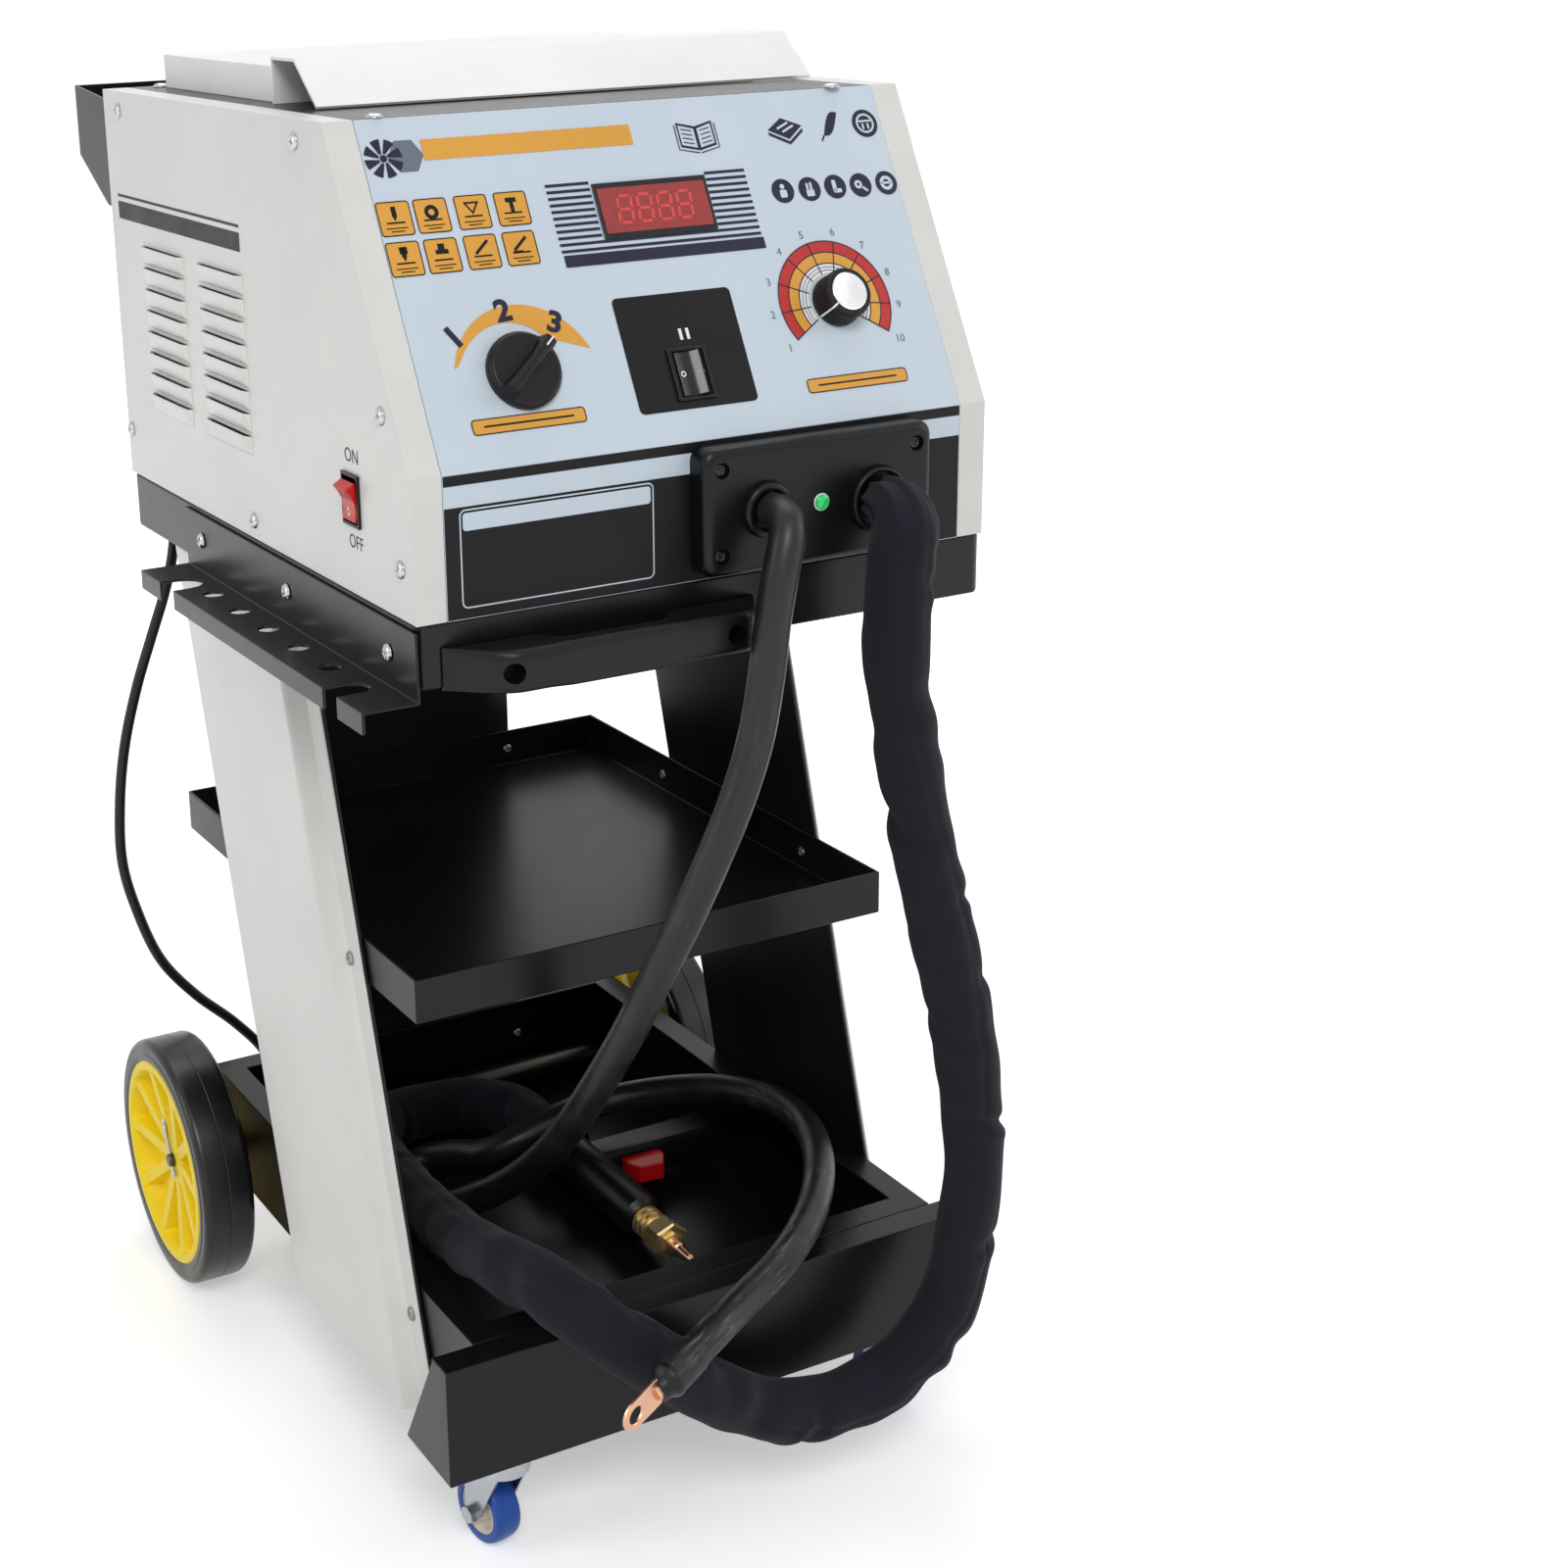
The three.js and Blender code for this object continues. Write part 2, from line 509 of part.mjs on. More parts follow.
// Axle across the box, with spacing collars, washers and a split pin near each end
function rearAxle() {
  const { radius, collarRadius, washerRadius, washerThickness, pinRadius, pinLength, pinInset } = axle;
  const end = wheel.outerFace - axle.endInset;
  const inner = wheel.outerFace - wheel.width;
  const washer = wheel.outerFace - wheel.bossInset + clear;
  const parts = [bar("x", radius, -end, end, wheel.y, wheel.radius)];
  for (const side of [-1, 1]) {
    const collar = mirrored(side, box.halfWidth + clear, inner - clear);
    const disc = mirrored(side, washer, washer + washerThickness);
    const pin = new THREE.CylinderGeometry(pinRadius, pinRadius, pinLength, hexSides);
    pin.rotateX(radians(90 - axle.pinDegrees));
    pin.translate(side * (end - pinInset), wheel.y, wheel.radius);
    parts.push(bar("x", collarRadius, ...collar, wheel.y, wheel.radius),
      bar("x", washerRadius, ...disc, wheel.y, wheel.radius), solid(pin));
  }
  return zinc("rear_axle", join(...parts));
}

// Wheel hub: boss, pocketed web and rim
function wheelHub(name, side) {
  const { outerFace, width, rimRadius, rimWall, webThickness, webInset, bossRadius, bossInset } = wheel;
  const at = (inset) => side * (outerFace - inset);
  const web = webInset + webThickness;
  const bore = axle.radius + clear;
  const body = turned("x", [[bore, at(width)], [bossRadius, at(width)], [bossRadius, at(web)],
    [rimRadius - rimWall, at(web)], [rimRadius - rimWall / 2, at(width)], [rimRadius, at(width)],
    [rimRadius, at(0)], [rimRadius - rimWall / 2, at(0)], [rimRadius - rimWall, at(webInset)],
    [bossRadius, at(webInset)], [bossRadius, at(bossInset)], [bore, at(bossInset)], [bore, at(width)]],
  wheel.y, wheel.radius, roundSides);
  const half = radians(wheel.pocketDegrees) / 2;
  const pockets = Array.from({ length: wheel.pocketCount }, (_, i) => {
    const middle = (2 * Math.PI * i) / wheel.pocketCount;
    const corner = (radius, angle) => [wheel.y + radius * Math.cos(angle),
      wheel.radius + radius * Math.sin(angle)];
    const points = [corner(wheel.pocketInner, middle - half), corner(wheel.pocketOuter, middle - half),
      corner(wheel.pocketOuter, middle + half), corner(wheel.pocketInner, middle + half)];
    return prism("x", points, ...mirrored(side, outerFace - width, outerFace));
  });
  return mesh(name, cut(body, ...pockets), 0xe3b92e, 0.5, 0);
}

function tyre(name, side) {
  const { outerFace, width, radius, rimRadius, shoulder: e } = wheel;
  const at = (inset) => side * (outerFace - inset);
  const inner = rimRadius + clear;
  const profile = [[inner, at(0)], [radius - 2 * e, at(0)], [radius - e / 2, at(e)], [radius, at(2 * e)],
    [radius, at(width - 2 * e)], [radius - e / 2, at(width - e)], [radius - 2 * e, at(width)],
    [inner, at(width)], [inner, at(0)]];
  return mesh(name, turned("x", profile, wheel.y, wheel.radius, roundSides), 0x2a2a2b, 0.8, 0);
}

// Caster: plate under the box, swivelling fork with its axle and nuts, and the wheel
function casterPlate(name, side) {
  const { y, plateSize, plateTop, plateThickness } = caster;
  const half = plateSize / 2;
  const x = side * caster.x;
  return zinc(name, block(x - half, x + half, y - half, y + half, plateTop - plateThickness, plateTop));
}

function casterFork() {
  const { discRadius, trail, radius, width, legGap, legThickness, legRadius, axleRadius, nutRadius } = caster;
  const { nutHeight, discTop, crownTop, crownThickness, crownFront, crownRear } = caster;
  const legIn = width / 2 + legGap;
  const legOut = legIn + legThickness;
  const nutEnd = legOut + nutHeight;
  const crown = crownTop - crownThickness;
  const outline = [[-crownFront, crownTop], [-crownFront, crown], [trail - legRadius, radius],
    [trail, radius - legRadius], [trail + legRadius, radius], [trail + crownRear, crown],
    [trail + crownRear, crownTop]];
  const parts = [bar("z", discRadius, crown, discTop, 0, 0, roundSides),
    block(-legOut, legOut, -crownFront, trail + crownRear, crown, crownTop),
    bar("x", axleRadius, -nutEnd, nutEnd, trail, radius)];
  for (const side of [-1, 1]) {
    parts.push(prism("x", outline, ...mirrored(side, legIn, legOut)),
      bar("x", nutRadius, ...mirrored(side, legOut, nutEnd), trail, radius, hexSides));
  }
  return join(...parts);
}

function casterWheel() {
  const { width, axleRadius, hubRadius, hubInset, radius, edge, nutRadius, trail } = caster;
  const bore = axleRadius + clear;
  const h = width / 2;
  const profile = [[bore, -h - clear], [nutRadius, -h - clear], [nutRadius, hubInset - h],
    [hubRadius, hubInset - h], [hubRadius, -h], [radius - edge, -h], [radius, edge - h], [radius, h - edge],
    [radius - edge, h], [hubRadius, h], [hubRadius, h - hubInset], [nutRadius, h - hubInset],
    [nutRadius, h + clear], [bore, h + clear], [bore, -h - clear]];
  return turned("x", profile, trail, radius, roundSides);
}

function addCaster(word, side) {
  machine.add(casterPlate(`${word}_caster_plate`, side));
  const swivel = new THREE.Group();
  swivel.position.set(side * caster.x, caster.y, 0);
  swivel.rotation.z = radians(caster.swivelDegrees);
  swivel.add(zinc(`${word}_caster_fork`, casterFork()));
  swivel.add(mesh(`${word}_caster_wheel`, casterWheel(), 0x2f55b0, 0.45, 0));
  machine.add(swivel);
}

// What stands on the slope is drawn flat, x across, y up the slope, z out of it
const slope = new THREE.Group();
slope.rotation.x = Math.atan2(hood.slopeRise, hood.slopeRun);
slope.position.set(0, hood.slopeTop, hood.top);
machine.add(slope);

/** Where a fitting's middle is on the slope. */
function slopePlace({ acrossShare, alongShare }) {
  return [hood.halfWidth * acrossShare, -hood.slopeLength * alongShare];
}

/** A solid drawn on the slope, moved to its place on the machine. */
function onSlope(body) {
  const frame = new THREE.Matrix4().makeRotationX(slope.rotation.x).setPosition(slope.position);
  return body.transform(frame.elements);
}

const panelHalf = hood.halfWidth - hood.flange - clear;
const hoodLine = [[hood.rear, hood.top], [hood.slopeTop, hood.top], [hood.front, hood.kneeTop],
  [hood.front, hood.base]];

function louvreSlots(x0, x1) {
  const slots = [];
  for (let column = 0; column < louvre.columnCount; column += 1) {
    const rear = hood.rear - louvre.rearInset - column * louvre.columnPitch;
    for (let row = 0; row < louvre.rowCount; row += 1) {
      const top = hood.top - louvre.firstDrop - row * louvre.pitch;
      slots.push(block(x0, x1, rear - louvre.width, rear, top - louvre.height, top));
    }
  }
  return slots;
}

// Side panel: a flat side with flanges turned in along the front, the slope and the top
function sidePanel(name, side) {
  const { halfWidth: w, flange, base, front, rear, top, kneeTop, slopeTop } = hood;
  const outline = [[front, base], [rear, base], [rear, top], [slopeTop, top], [front, kneeTop]];
  const plate = prism("x", outline, ...mirrored(side, w - sheet, w));
  const flanges = prism("x", folded(hoodLine, sheet), ...mirrored(side, w - flange, w));
  const cutters = louvreSlots(...mirrored(side, w - sheet - overrun, w + overrun));
  if (side < 0) {
    const y = front + mainSwitch.frontInset;
    const z = base + mainSwitch.rise;
    const a = mainSwitch.halfAcross - switchShape.bezelRim;
    const b = mainSwitch.halfAlong - switchShape.bezelRim;
    cutters.push(block(-w - overrun, sheet + overrun - w, y - a, y + a, z - b, z + b));
  }
  return steelLight(name, cut(join(plate, flanges), ...cutters));
}

// Front panel: lower face and slope in one folded sheet between the side flanges
function frontPanel() {
  const face = prism("x", folded(hoodLine.slice(1), sheet), -panelHalf, panelHalf);
  const through = [-sheet - overrun, overrun];
  const window = ([x, y], a, b) => onSlope(block(x - a, x + a, y - b, y + b, ...through));
  const round = ([x, y], radius) => onSlope(bar("z", radius, ...through, x, y));
  const stud = (x, z) => bar("y", terminal.studRadius + 2 * clear, hood.front - overrun,
    hood.front + sheet + overrun, z, x);
  return mesh("front_panel", cut(face,
    window(slopePlace(display), display.width / 2 + clear, display.height / 2 + clear),
    window(slopePlace(modeSwitch), modeSwitch.halfAlong - switchShape.bezelRim,
      modeSwitch.halfAcross - switchShape.bezelRim),
    round(slopePlace(selector), selector.shaftRadius + clear),
    round(slopePlace(timer), timer.shaftRadius + clear),
    stud(terminal.groundX, terminal.groundZ), stud(terminal.gunX, terminal.gunZ)), 0xcfdde6, 0.5, 0.1);
}

function topPlate() {
  const start = hood.slopeTop + sheet + clear;
  return steelDark("top_plate", block(-panelHalf, panelHalf, start, hood.rear, hood.top - sheet, hood.top));
}

// Rear panel, with a slotted fan grille and the mains hole
function rearPanel() {
  const { halfWidth: w, base, rear, top } = hood;
  const inner = rear - sheet;
  const seat = sheet + clear;
  const face = block(seat - w, w - seat, inner, rear, base, top - seat);
  const cutters = [bar("y", mainsGland.holeRadius, inner - overrun, rear + overrun, mainsGland.z,
    mainsGland.x)];
  for (let i = 0; i < fan.grilleCount; i += 1) {
    const offset = (i - (fan.grilleCount - 1) / 2) * fan.grillePitch;
    const half = Math.sqrt(fan.grilleRadius ** 2 - offset ** 2);
    cutters.push(block(fan.x - half, fan.x + half, inner - overrun, rear + overrun,
      fan.z + offset - fan.grilleSlot / 2, fan.z + offset + fan.grilleSlot / 2));
  }
  return steelLight("rear_panel", cut(face, ...cutters));
}

// Lid on the top plate, with a raised front lip that leaves an open channel
function topCover() {
  const { left, right, front, rear, top, lipSide } = lid;
  const foot = hood.top + clear;
  const shell = cut(block(left, right, front, rear, foot, top),
    block(left + sheet, right - sheet, front + sheet, rear - sheet, foot - overrun, top - sheet));
  const lipTop = top + lid.lipRise;
  const bend = front - lid.lipBack;
  const line = [[front + sheet, foot], [front + sheet, lipTop], [bend, lipTop],
    [bend - lid.lipReach, hood.top + lid.lipFootRise]];
  const lip = prism("x", folded(line, sheet), left - lipSide, right + lipSide);
  return mesh("top_cover", join(shell, lip), 0xf0f0f0, 0.4, 0.1);
}

// Trough across the hood's back, open at the top
function rearTrough() {
  const { halfWidth: w, front, rear, bottomDepth } = trough;
  const bottom = hood.top - trough.bottomDrop;
  const outline = [[front, hood.top - trough.innerDrop], [front, bottom], [front + bottomDepth, bottom],
    [rear, hood.top - trough.rearFootDrop], [rear, hood.top - trough.rimDrop]];
  const wall = prism("x", folded(outline, sheet), -w, w);
  return steelDark("rear_trough", join(wall, prism("x", outline, -w, sheet - w),
    prism("x", outline, w - sheet, w)));
}

// Terminal box and the cable rings on it
function terminalBox() {
  const { left, right, bottom, top, depth, corner, edge, middle, groundX, groundZ, gunX, gunZ } = terminal;
  const rear = hood.front - clear;
  const plan = roundedBox(bottom + edge, top - edge, left + edge, right - edge, corner - edge, 3);
  const geometry = new THREE.ExtrudeGeometry(new THREE.Shape(flat(plan)), { depth: depth - edge - clear,
    bevelSize: edge, bevelThickness: edge, bevelSegments: 2 });
  geometry.applyMatrix4(axisFrames.y);
  geometry.translate(0, rear - depth + edge + clear, 0);
  const trimmed = cut(solid(geometry), block(left - overrun, right + overrun, rear, rear + depth,
    bottom - overrun, top + overrun));
  const span = [rear - depth - overrun, rear + overrun];
  return plasticBlack("terminal_box", cut(trimmed,
    bar("y", terminal.groundBore, ...span, groundZ, groundX, roundSides),
    bar("y", terminal.gunBore, ...span, gunZ, gunX, roundSides),
    bar("y", lamp.stemRadius + clear, ...span, bottom + lamp.rise, middle)));
}

function cableRing(name, x, z, ring, bore) {
  const { face, ringFace, ringProud, neckDepth, studRadius, studDepth } = terminal;
  const seat = face - clear;
  const neckEnd = face + neckDepth;
  const profile = [[0, ringFace], [ring - ringProud / 2, ringFace], [ring, ringFace + ringProud / 2],
    [ring, seat], [bore - clear, seat], [bore - clear, neckEnd], [studRadius + clear, neckEnd],
    [studRadius + clear, neckEnd - studDepth], [0, neckEnd - studDepth]];
  return plasticBlack(name, turned("y", profile, z, x, roundSides));
}

function indicatorLens() {
  const { radius, proud, stemRadius, stemDepth, rise } = lamp;
  const seat = terminal.face - clear;
  const dome = lampDomeShares.map(([outShare, upShare]) => [radius * outShare, seat - proud * upShare]);
  const profile = [...dome, [stemRadius, seat], [stemRadius, seat + stemDepth], [0, seat + stemDepth]];
  const body = turned("y", profile, terminal.bottom + rise, terminal.middle, smallSides);
  return mesh("indicator_lens", body, 0x22c25a, 0.3, 0);
}

function displayWindow() {
  const { width, height, depth, rim, rimHeight } = display;
  const [x, y] = slopePlace(display);
  const [a, b] = [width / 2, height / 2];
  return mesh("display_window", join(block(x - a, x + a, y - b, y + b, -depth, rimHeight),
    block(x - a - rim, x + a + rim, y - b - rim, y + b + rim, clear, rimHeight)), 0x26343a, 0.2, 0);
}

// Rocker switch: a body with a bezel and a pocket, and the rocker that tips in it.
// Drawn flat, x across, y along the rocking, z out of the panel.
function switchBody(name, { halfAcross: a, halfAlong: b, depth }) {
  const { bezelRim, bezelHeight, wall, pivotDepth, floorDepth } = switchShape;
  const hole = bezelRim + clear;
  const pocket = hole + wall;
  const body = join(block(-a, a, -b, b, clear, bezelHeight),
    block(hole - a, a - hole, hole - b, b - hole, -depth, bezelHeight));
  return plasticBlack(name, cut(body, block(pocket - a, a - pocket, pocket - b, b - pocket,
    -pivotDepth - floorDepth, bezelHeight + overrun)));
}

function rocker({ halfAcross, halfAlong, endRise, midRise, tiltDegrees }) {
  const { bezelRim, wall, sideClear, endClear, endSlope, endLow, pivotDepth, pinDrop } = switchShape;
  const pocket = bezelRim + clear + wall;
  const a = halfAlong - pocket - endClear;
  const side = halfAcross - pocket - sideClear;
  const crest = a - endSlope;
  const outline = [[-a, endLow], [-crest, endRise], [-crest / 2, (endRise + 2 * midRise) / 3], [0, midRise],
    [crest / 2, (endRise + 2 * midRise) / 3], [crest, endRise], [a, endLow], [0, -pinDrop]];
  const piece = new THREE.Group();
  piece.position.z = -pivotDepth;
  piece.rotation.x = radians(tiltDegrees);
  return [piece, prism("x", outline, -side, side)];
}

function rockerSwitch(word, size, colouring) {
  const group = new THREE.Group();
  const [hinge, body] = rocker(size);
  hinge.add(colouring(`${word}_rocker`, body));
  group.add(switchBody(`${word}_switch_body`, size), hinge);
  return group;
}

// Selector knob with its pointer grip, and the rotary switch behind the panel
function selectorKnob() {
  const { skirtRadius, skirtHeight, gripWidth, gripHeight, gripLength, shaftRadius, shaftDepth } = selector;
  const half = gripLength / 2;
  const side = gripWidth / 2;
  const skirt = turned("z", [[0, clear], [skirtRadius, clear], [skirtRadius, skirtHeight / 2],
    [skirtRadius * skirtTopShare, skirtHeight], [0, skirtHeight]], 0, 0, roundSides);
  const grip = [[-side, -half], [side, -half], [side, half - side], [0, half], [-side, half - side]];
  return join(skirt, prism("z", grip, skirtHeight / 2, skirtHeight + gripHeight),
    bar("z", shaftRadius, -shaftDepth, skirtHeight / 2, 0, 0));
}

// Time knob: fluted skirt and cap
function timeKnob() {
  const { skirtRadius, skirtHeight, capRadius, capHeight, fluteCount, fluteDepth, shaftRadius } = timer;
  const outline = Array.from({ length: 2 * fluteCount }, (_, i) => {
    const angle = (Math.PI * i) / fluteCount;
    const radius = skirtRadius - (i % 2) * fluteDepth;
    return [radius * Math.cos(angle), radius * Math.sin(angle)];
  });
  return join(prism("z", outline, clear, skirtHeight),
    bar("z", capRadius, skirtHeight / 2, skirtHeight + capHeight, 0, 0, roundSides),
    bar("z", shaftRadius, -timer.shaftDepth, skirtHeight / 2, 0, 0));
}

/** A knob on the slope, over the body that it turns. */
function addKnob(size, knob, body) {
  const [x, y] = slopePlace(size);
  knob.position.set(x, y, 0);
  knob.rotation.z = radians(size.pointDegrees);
  body.position.set(x, y, 0);
  slope.add(knob, body);
}

function addKnobs() {
  const top = -sheet - clear;
  const half = selector.bodySize / 2;
  const shaftHole = ({ shaftRadius, shaftDepth }) => bar("z", shaftRadius + clear, -shaftDepth - clear,
    overrun, 0, 0);
  addKnob(selector, plasticBlack("current_knob", selectorKnob()), plasticBlack("current_selector_body",
    cut(block(-half, half, -half, half, top - selector.bodyDepth, top), shaftHole(selector))));
  addKnob(timer, plasticBlack("time_knob", timeKnob()), zinc("time_potentiometer",
    cut(bar("z", timer.bodyRadius, top - timer.bodyDepth, top, 0, 0, roundSides), shaftHole(timer))));
}

// Control board on posts behind the slope, with a row of relays
function controlBoard() {
  const { alongShare, halfWidth: w, length, depth, thickness, postRadius, postInset, relaySize } = board;
  const middle = -hood.slopeLength * alongShare;
  const down = middle - length / 2;
  const up = middle + length / 2;
  const parts = [block(-w, w, down, up, -depth, thickness - depth)];
  for (const x of [postInset - w, w - postInset]) {
    for (const y of [down + postInset, up - postInset]) {
      parts.push(bar("z", postRadius, thickness / 2 - depth, -sheet - clear, x, y, fineSides));
    }
  }
  for (let i = 0; i < board.relayCount; i += 1) {
    const x = (i - (board.relayCount - 1) / 2) * 2 * relaySize;
    parts.push(block(x - relaySize / 2, x + relaySize / 2, down + relaySize, down + 2 * relaySize,
      thickness / 2 - depth, thickness - depth + board.relayHeight));
  }
  return mesh("control_board", join(...parts), 0x1f7a3a, 0.6, 0);
}

// Fan behind the rear grille: frame with struts and spindle, and its rotor
function fanFrame() {
  const { x, z, front, rear, size, boreRadius, strutWidth, strutDepth, spindleLength } = fan;
  const half = size / 2;
  const side = strutWidth / 2;
  const strutRear = front + strutDepth;
  const ring = cut(block(x - half, x + half, front, rear, z - half, z + half),
    bar("y", boreRadius, front - overrun, rear + overrun, z, x, roundSides));
  return plasticBlack("fan_frame", join(ring,
    block(x - half, x + half, front, strutRear, z - side, z + side),
    block(x - side, x + side, front, strutRear, z - half, z + half),
    bar("y", fan.motorRadius, front, strutRear, z, x),
    bar("y", fan.spindleRadius, front, strutRear + spindleLength, z, x)));
}

function fanRotor() {
  const { hubRadius, hubInset, bladeCount, bladeLength, bladeChord, bladeThickness, bladeDegrees } = fan;
  const front = fan.front + fan.strutDepth + clear;
  const rear = fan.rear - clear;
  const bore = fan.spindleRadius + clear;
  const boreEnd = fan.front + fan.strutDepth + fan.spindleLength + clear;
  const hub = turned("y", [[bore, front], [hubRadius, front], [hubRadius, rear - hubInset],
    [0, rear - hubInset], [0, boreEnd], [bore, boreEnd], [bore, front]], 0, 0, softSides);
  const blades = Array.from({ length: bladeCount }, (_, i) => {
    const blade = new THREE.BoxGeometry(bladeLength, bladeChord, bladeThickness);
    blade.rotateX(radians(bladeDegrees));
    blade.translate(hubRadius + bladeLength / 2 - bladeThickness, (front + rear) / 2, 0);
    blade.rotateY((2 * Math.PI * i) / bladeCount);
    return solid(blade);
  });
  const rotor = plasticBlack("fan_rotor", join(hub, ...blades));
  rotor.position.set(fan.x, 0, fan.z);
  return rotor;
}

// Transformer: laminated core with two windows, and the winding round its middle leg
function transformerCore() {
  const { halfWidth: w, front, rear, height, legHalf, windowWidth, yoke } = core;
  const base = hood.base;
  const window = (x) => block(x, x + windowWidth, front - overrun, rear + overrun, base + yoke,
    base + height - yoke);
  return mesh("transformer_core", cut(block(-w, w, front, rear, base, base + height), window(legHalf),
    window(-legHalf - windowWidth)), 0x6f7378, 0.5, 0.7);
}

function primaryWinding() {
  const { front, rear, height, legHalf, windowWidth, yoke } = core;
  const w = legHalf + windowWidth - clear;
  const leg = legHalf + clear;
  const ring = roundedBox(-w, w, front - windingBulge, rear + windingBulge, bendRadius);
  const hole = [[-leg, front - clear], [leg, front - clear], [leg, rear + clear], [-leg, rear + clear]];
  return mesh("primary_winding", prism("z", ring, hood.base + yoke + clear,
    hood.base + height - yoke - clear, [hole]), 0xb4622d, 0.5, 0.3);
}

// Copper straps from the winding to the two terminals
function groundBusbar() {
  const { width, thickness, groundRise, studFront, front, rear } = strap;
  const { groundX: x, groundZ: z, studRadius } = terminal;
  const level = z + groundRise;
  return copper("ground_busbar", join(block(x - width / 2, x + width / 2, front, rear,
    level - thickness / 2, level + thickness / 2), bar("y", studRadius, studFront, front + thickness, z, x)));
}

function gunBusbar() {
  const { width, thickness, gunDrop, studFront, front, rear, crossWidth } = strap;
  const { gunX: x, gunZ: z, studRadius } = terminal;
  const level = [z - gunDrop - thickness / 2, z - gunDrop + thickness / 2];
  return copper("gun_busbar", join(block(x - width / 2, x + width / 2, front, rear, ...level),
    block(-width / 2, x + width / 2, rear - crossWidth, rear, ...level),
    bar("y", studRadius, studFront, front + thickness, z, x)));
}

function heatSink() {
  const { width, length, height, finCount, finGap, base, moduleWidth, moduleInset } = sink;
  const left = sink.sideInset - hood.halfWidth;
  const right = left + width;
  const rear = hood.rear - sink.rearInset;
  const front = rear - length;
  const floor = hood.base;
  const slots = Array.from({ length: finCount }, (_, i) => {
    const x = left + ((2 * i + 1) * width) / (2 * finCount);
    return block(x - finGap / 2, x + finGap / 2, front - overrun, rear + overrun, floor + base,
      floor + height + overrun);
  });
  const fins = cut(block(left, right, front, rear, floor, floor + height), ...slots);
  return mesh("heat_sink", join(fins, block(right - clear, right + moduleWidth, front + moduleInset,
    rear - moduleInset, floor, floor + height / 2)), 0x9a9ea3, 0.4, 0.8);
}

function mainsGlandPiece() {
  const { x, z, seat, end, flangeRadius, flangeHeight, neckRadius, neckDepth, domeRadius } = mainsGland;
  const profile = [[0, seat - neckDepth], [neckRadius, seat - neckDepth], [neckRadius, seat],
    [flangeRadius, seat], [flangeRadius, seat + flangeHeight], [domeRadius, seat + flangeHeight],
    [domeRadius * domeTipShare, end], [0, end]];
  return plasticBlack("mains_gland", turned("y", profile, z, x, smallSides));
}

// Cables. Their routes are in the machine's own places.
/** A round cord along chosen points. */
function cord(points, { radius, sides, steps }) {
  const path = new THREE.CatmullRomCurve3(points.map((p) => vec(...p)), false, "centripetal");
  const section = new THREE.Shape(flat(circle(0, 0, radius, sides)));
  return solid(new THREE.ExtrudeGeometry(section, { steps, extrudePath: path }));
}

const mainsRoute = [[mainsGland.x, mainsGland.end + clear, mainsGland.z], [mainsGland.x, 384, mainsGland.z],
  [-150, 398.6, 686.9], [-150, 410.8, 678.1], [-150, 418.2, 665.1], [-151, 420, 650], [-153, 417, 626],
  [-158, 409, 602], [-165, 400, 578], [-176, 392, 552], [-191, 388.5, 518], [-206, 388, 480],
  [-220, 388, 433], [-228, 388, 385], [-230, 388, 335], [-221, 388, 290], [-204, 388, 243], [-177, 388, 206],
  [-144, 388, 172], [-120, 387, 140], [-104, 385, 95], [-92, 381, 50], [-76, 374, 18], [-52, 367, 6],
  [-28, coil.front, coil.low], [-8, coil.front, coil.low], [coil.start - clear, coil.front, coil.low]];

const cordStart = terminal.ringFace - clear;
const groundRoute = [
  [terminal.groundX, cordStart, terminal.groundZ], [terminal.groundX, -188, terminal.groundZ],
  [23, -200, 696], [15, -206, 675], [9, -206, 645], [6, -203, 607], [0, -199, 564], [-12, -194, 522],
  [-26, -186, 481], [-39, -174, 440], [-51, -159, 400], [-59, -141, 361], [-65, -119, 324],
  [-68, -93, 288], [-67, -64, 255], [-66, -33, 224], [-67, 0, 194], [-72, 34, 166], [-83, 67, 142],
  [-99, 98, 123], [-112, 128, 110], [-117, 158, 103], [-108, 186, 101], [-86, 202, 103], [-60, 200, 108],
  [-40, 184, 115], [-27, 161, 122], [-6, 149, 132], [22, 146, 141], [54, 144, 148], [94, 129, 156],
  [125, 100, 166], [147, 63, 175], [157, 21, 181], [153, -23, 185], [138, -64, 186], [115, -102, 186],
  [87, -136, 186], [55, -166, 186], [20, -192, 186], [-18, -214, 186], [-57, -234, 182], [-95, -246, 169]];

const sleeveRoute = [
  [terminal.gunX, cordStart, terminal.gunZ], [terminal.gunX, -190, terminal.gunZ], [106, -203, 690],
  [101, -210, 671], [97, -212, 640], [97, -212, 597], [105, -211, 554], [113, -210, 510], [123, -211, 466],
  [133, -211, 423], [144, -212, 380], [154, -213, 336], [162, -213, 293], [166, -213, 248],
  [165, -213, 204], [157, -213, 160], [139, -212, 119], [109, -209, 90], [68, -205, 76], [24, -202, 81],
  [-15, -201, 100], [-49, -202, 128], [-82, -202, 157], [-111, -190, 182], [-130, -157, 195],
  [-137, -113, 193], [-139, -69, 185], [-138, -26, 175], [-136, 18, 168], [-133, 62, 163],
  [-128, 106, 158], [-120, 150, 151], [-108, 194, 140], [-88, 236, 127], [-56, 266, 114], [-17, 276, 108],
  [20, 262, 107.7], [40, 234, 107.7], [gun.x, 204, gun.z], [gun.x, gun.rear + clear, gun.z]];

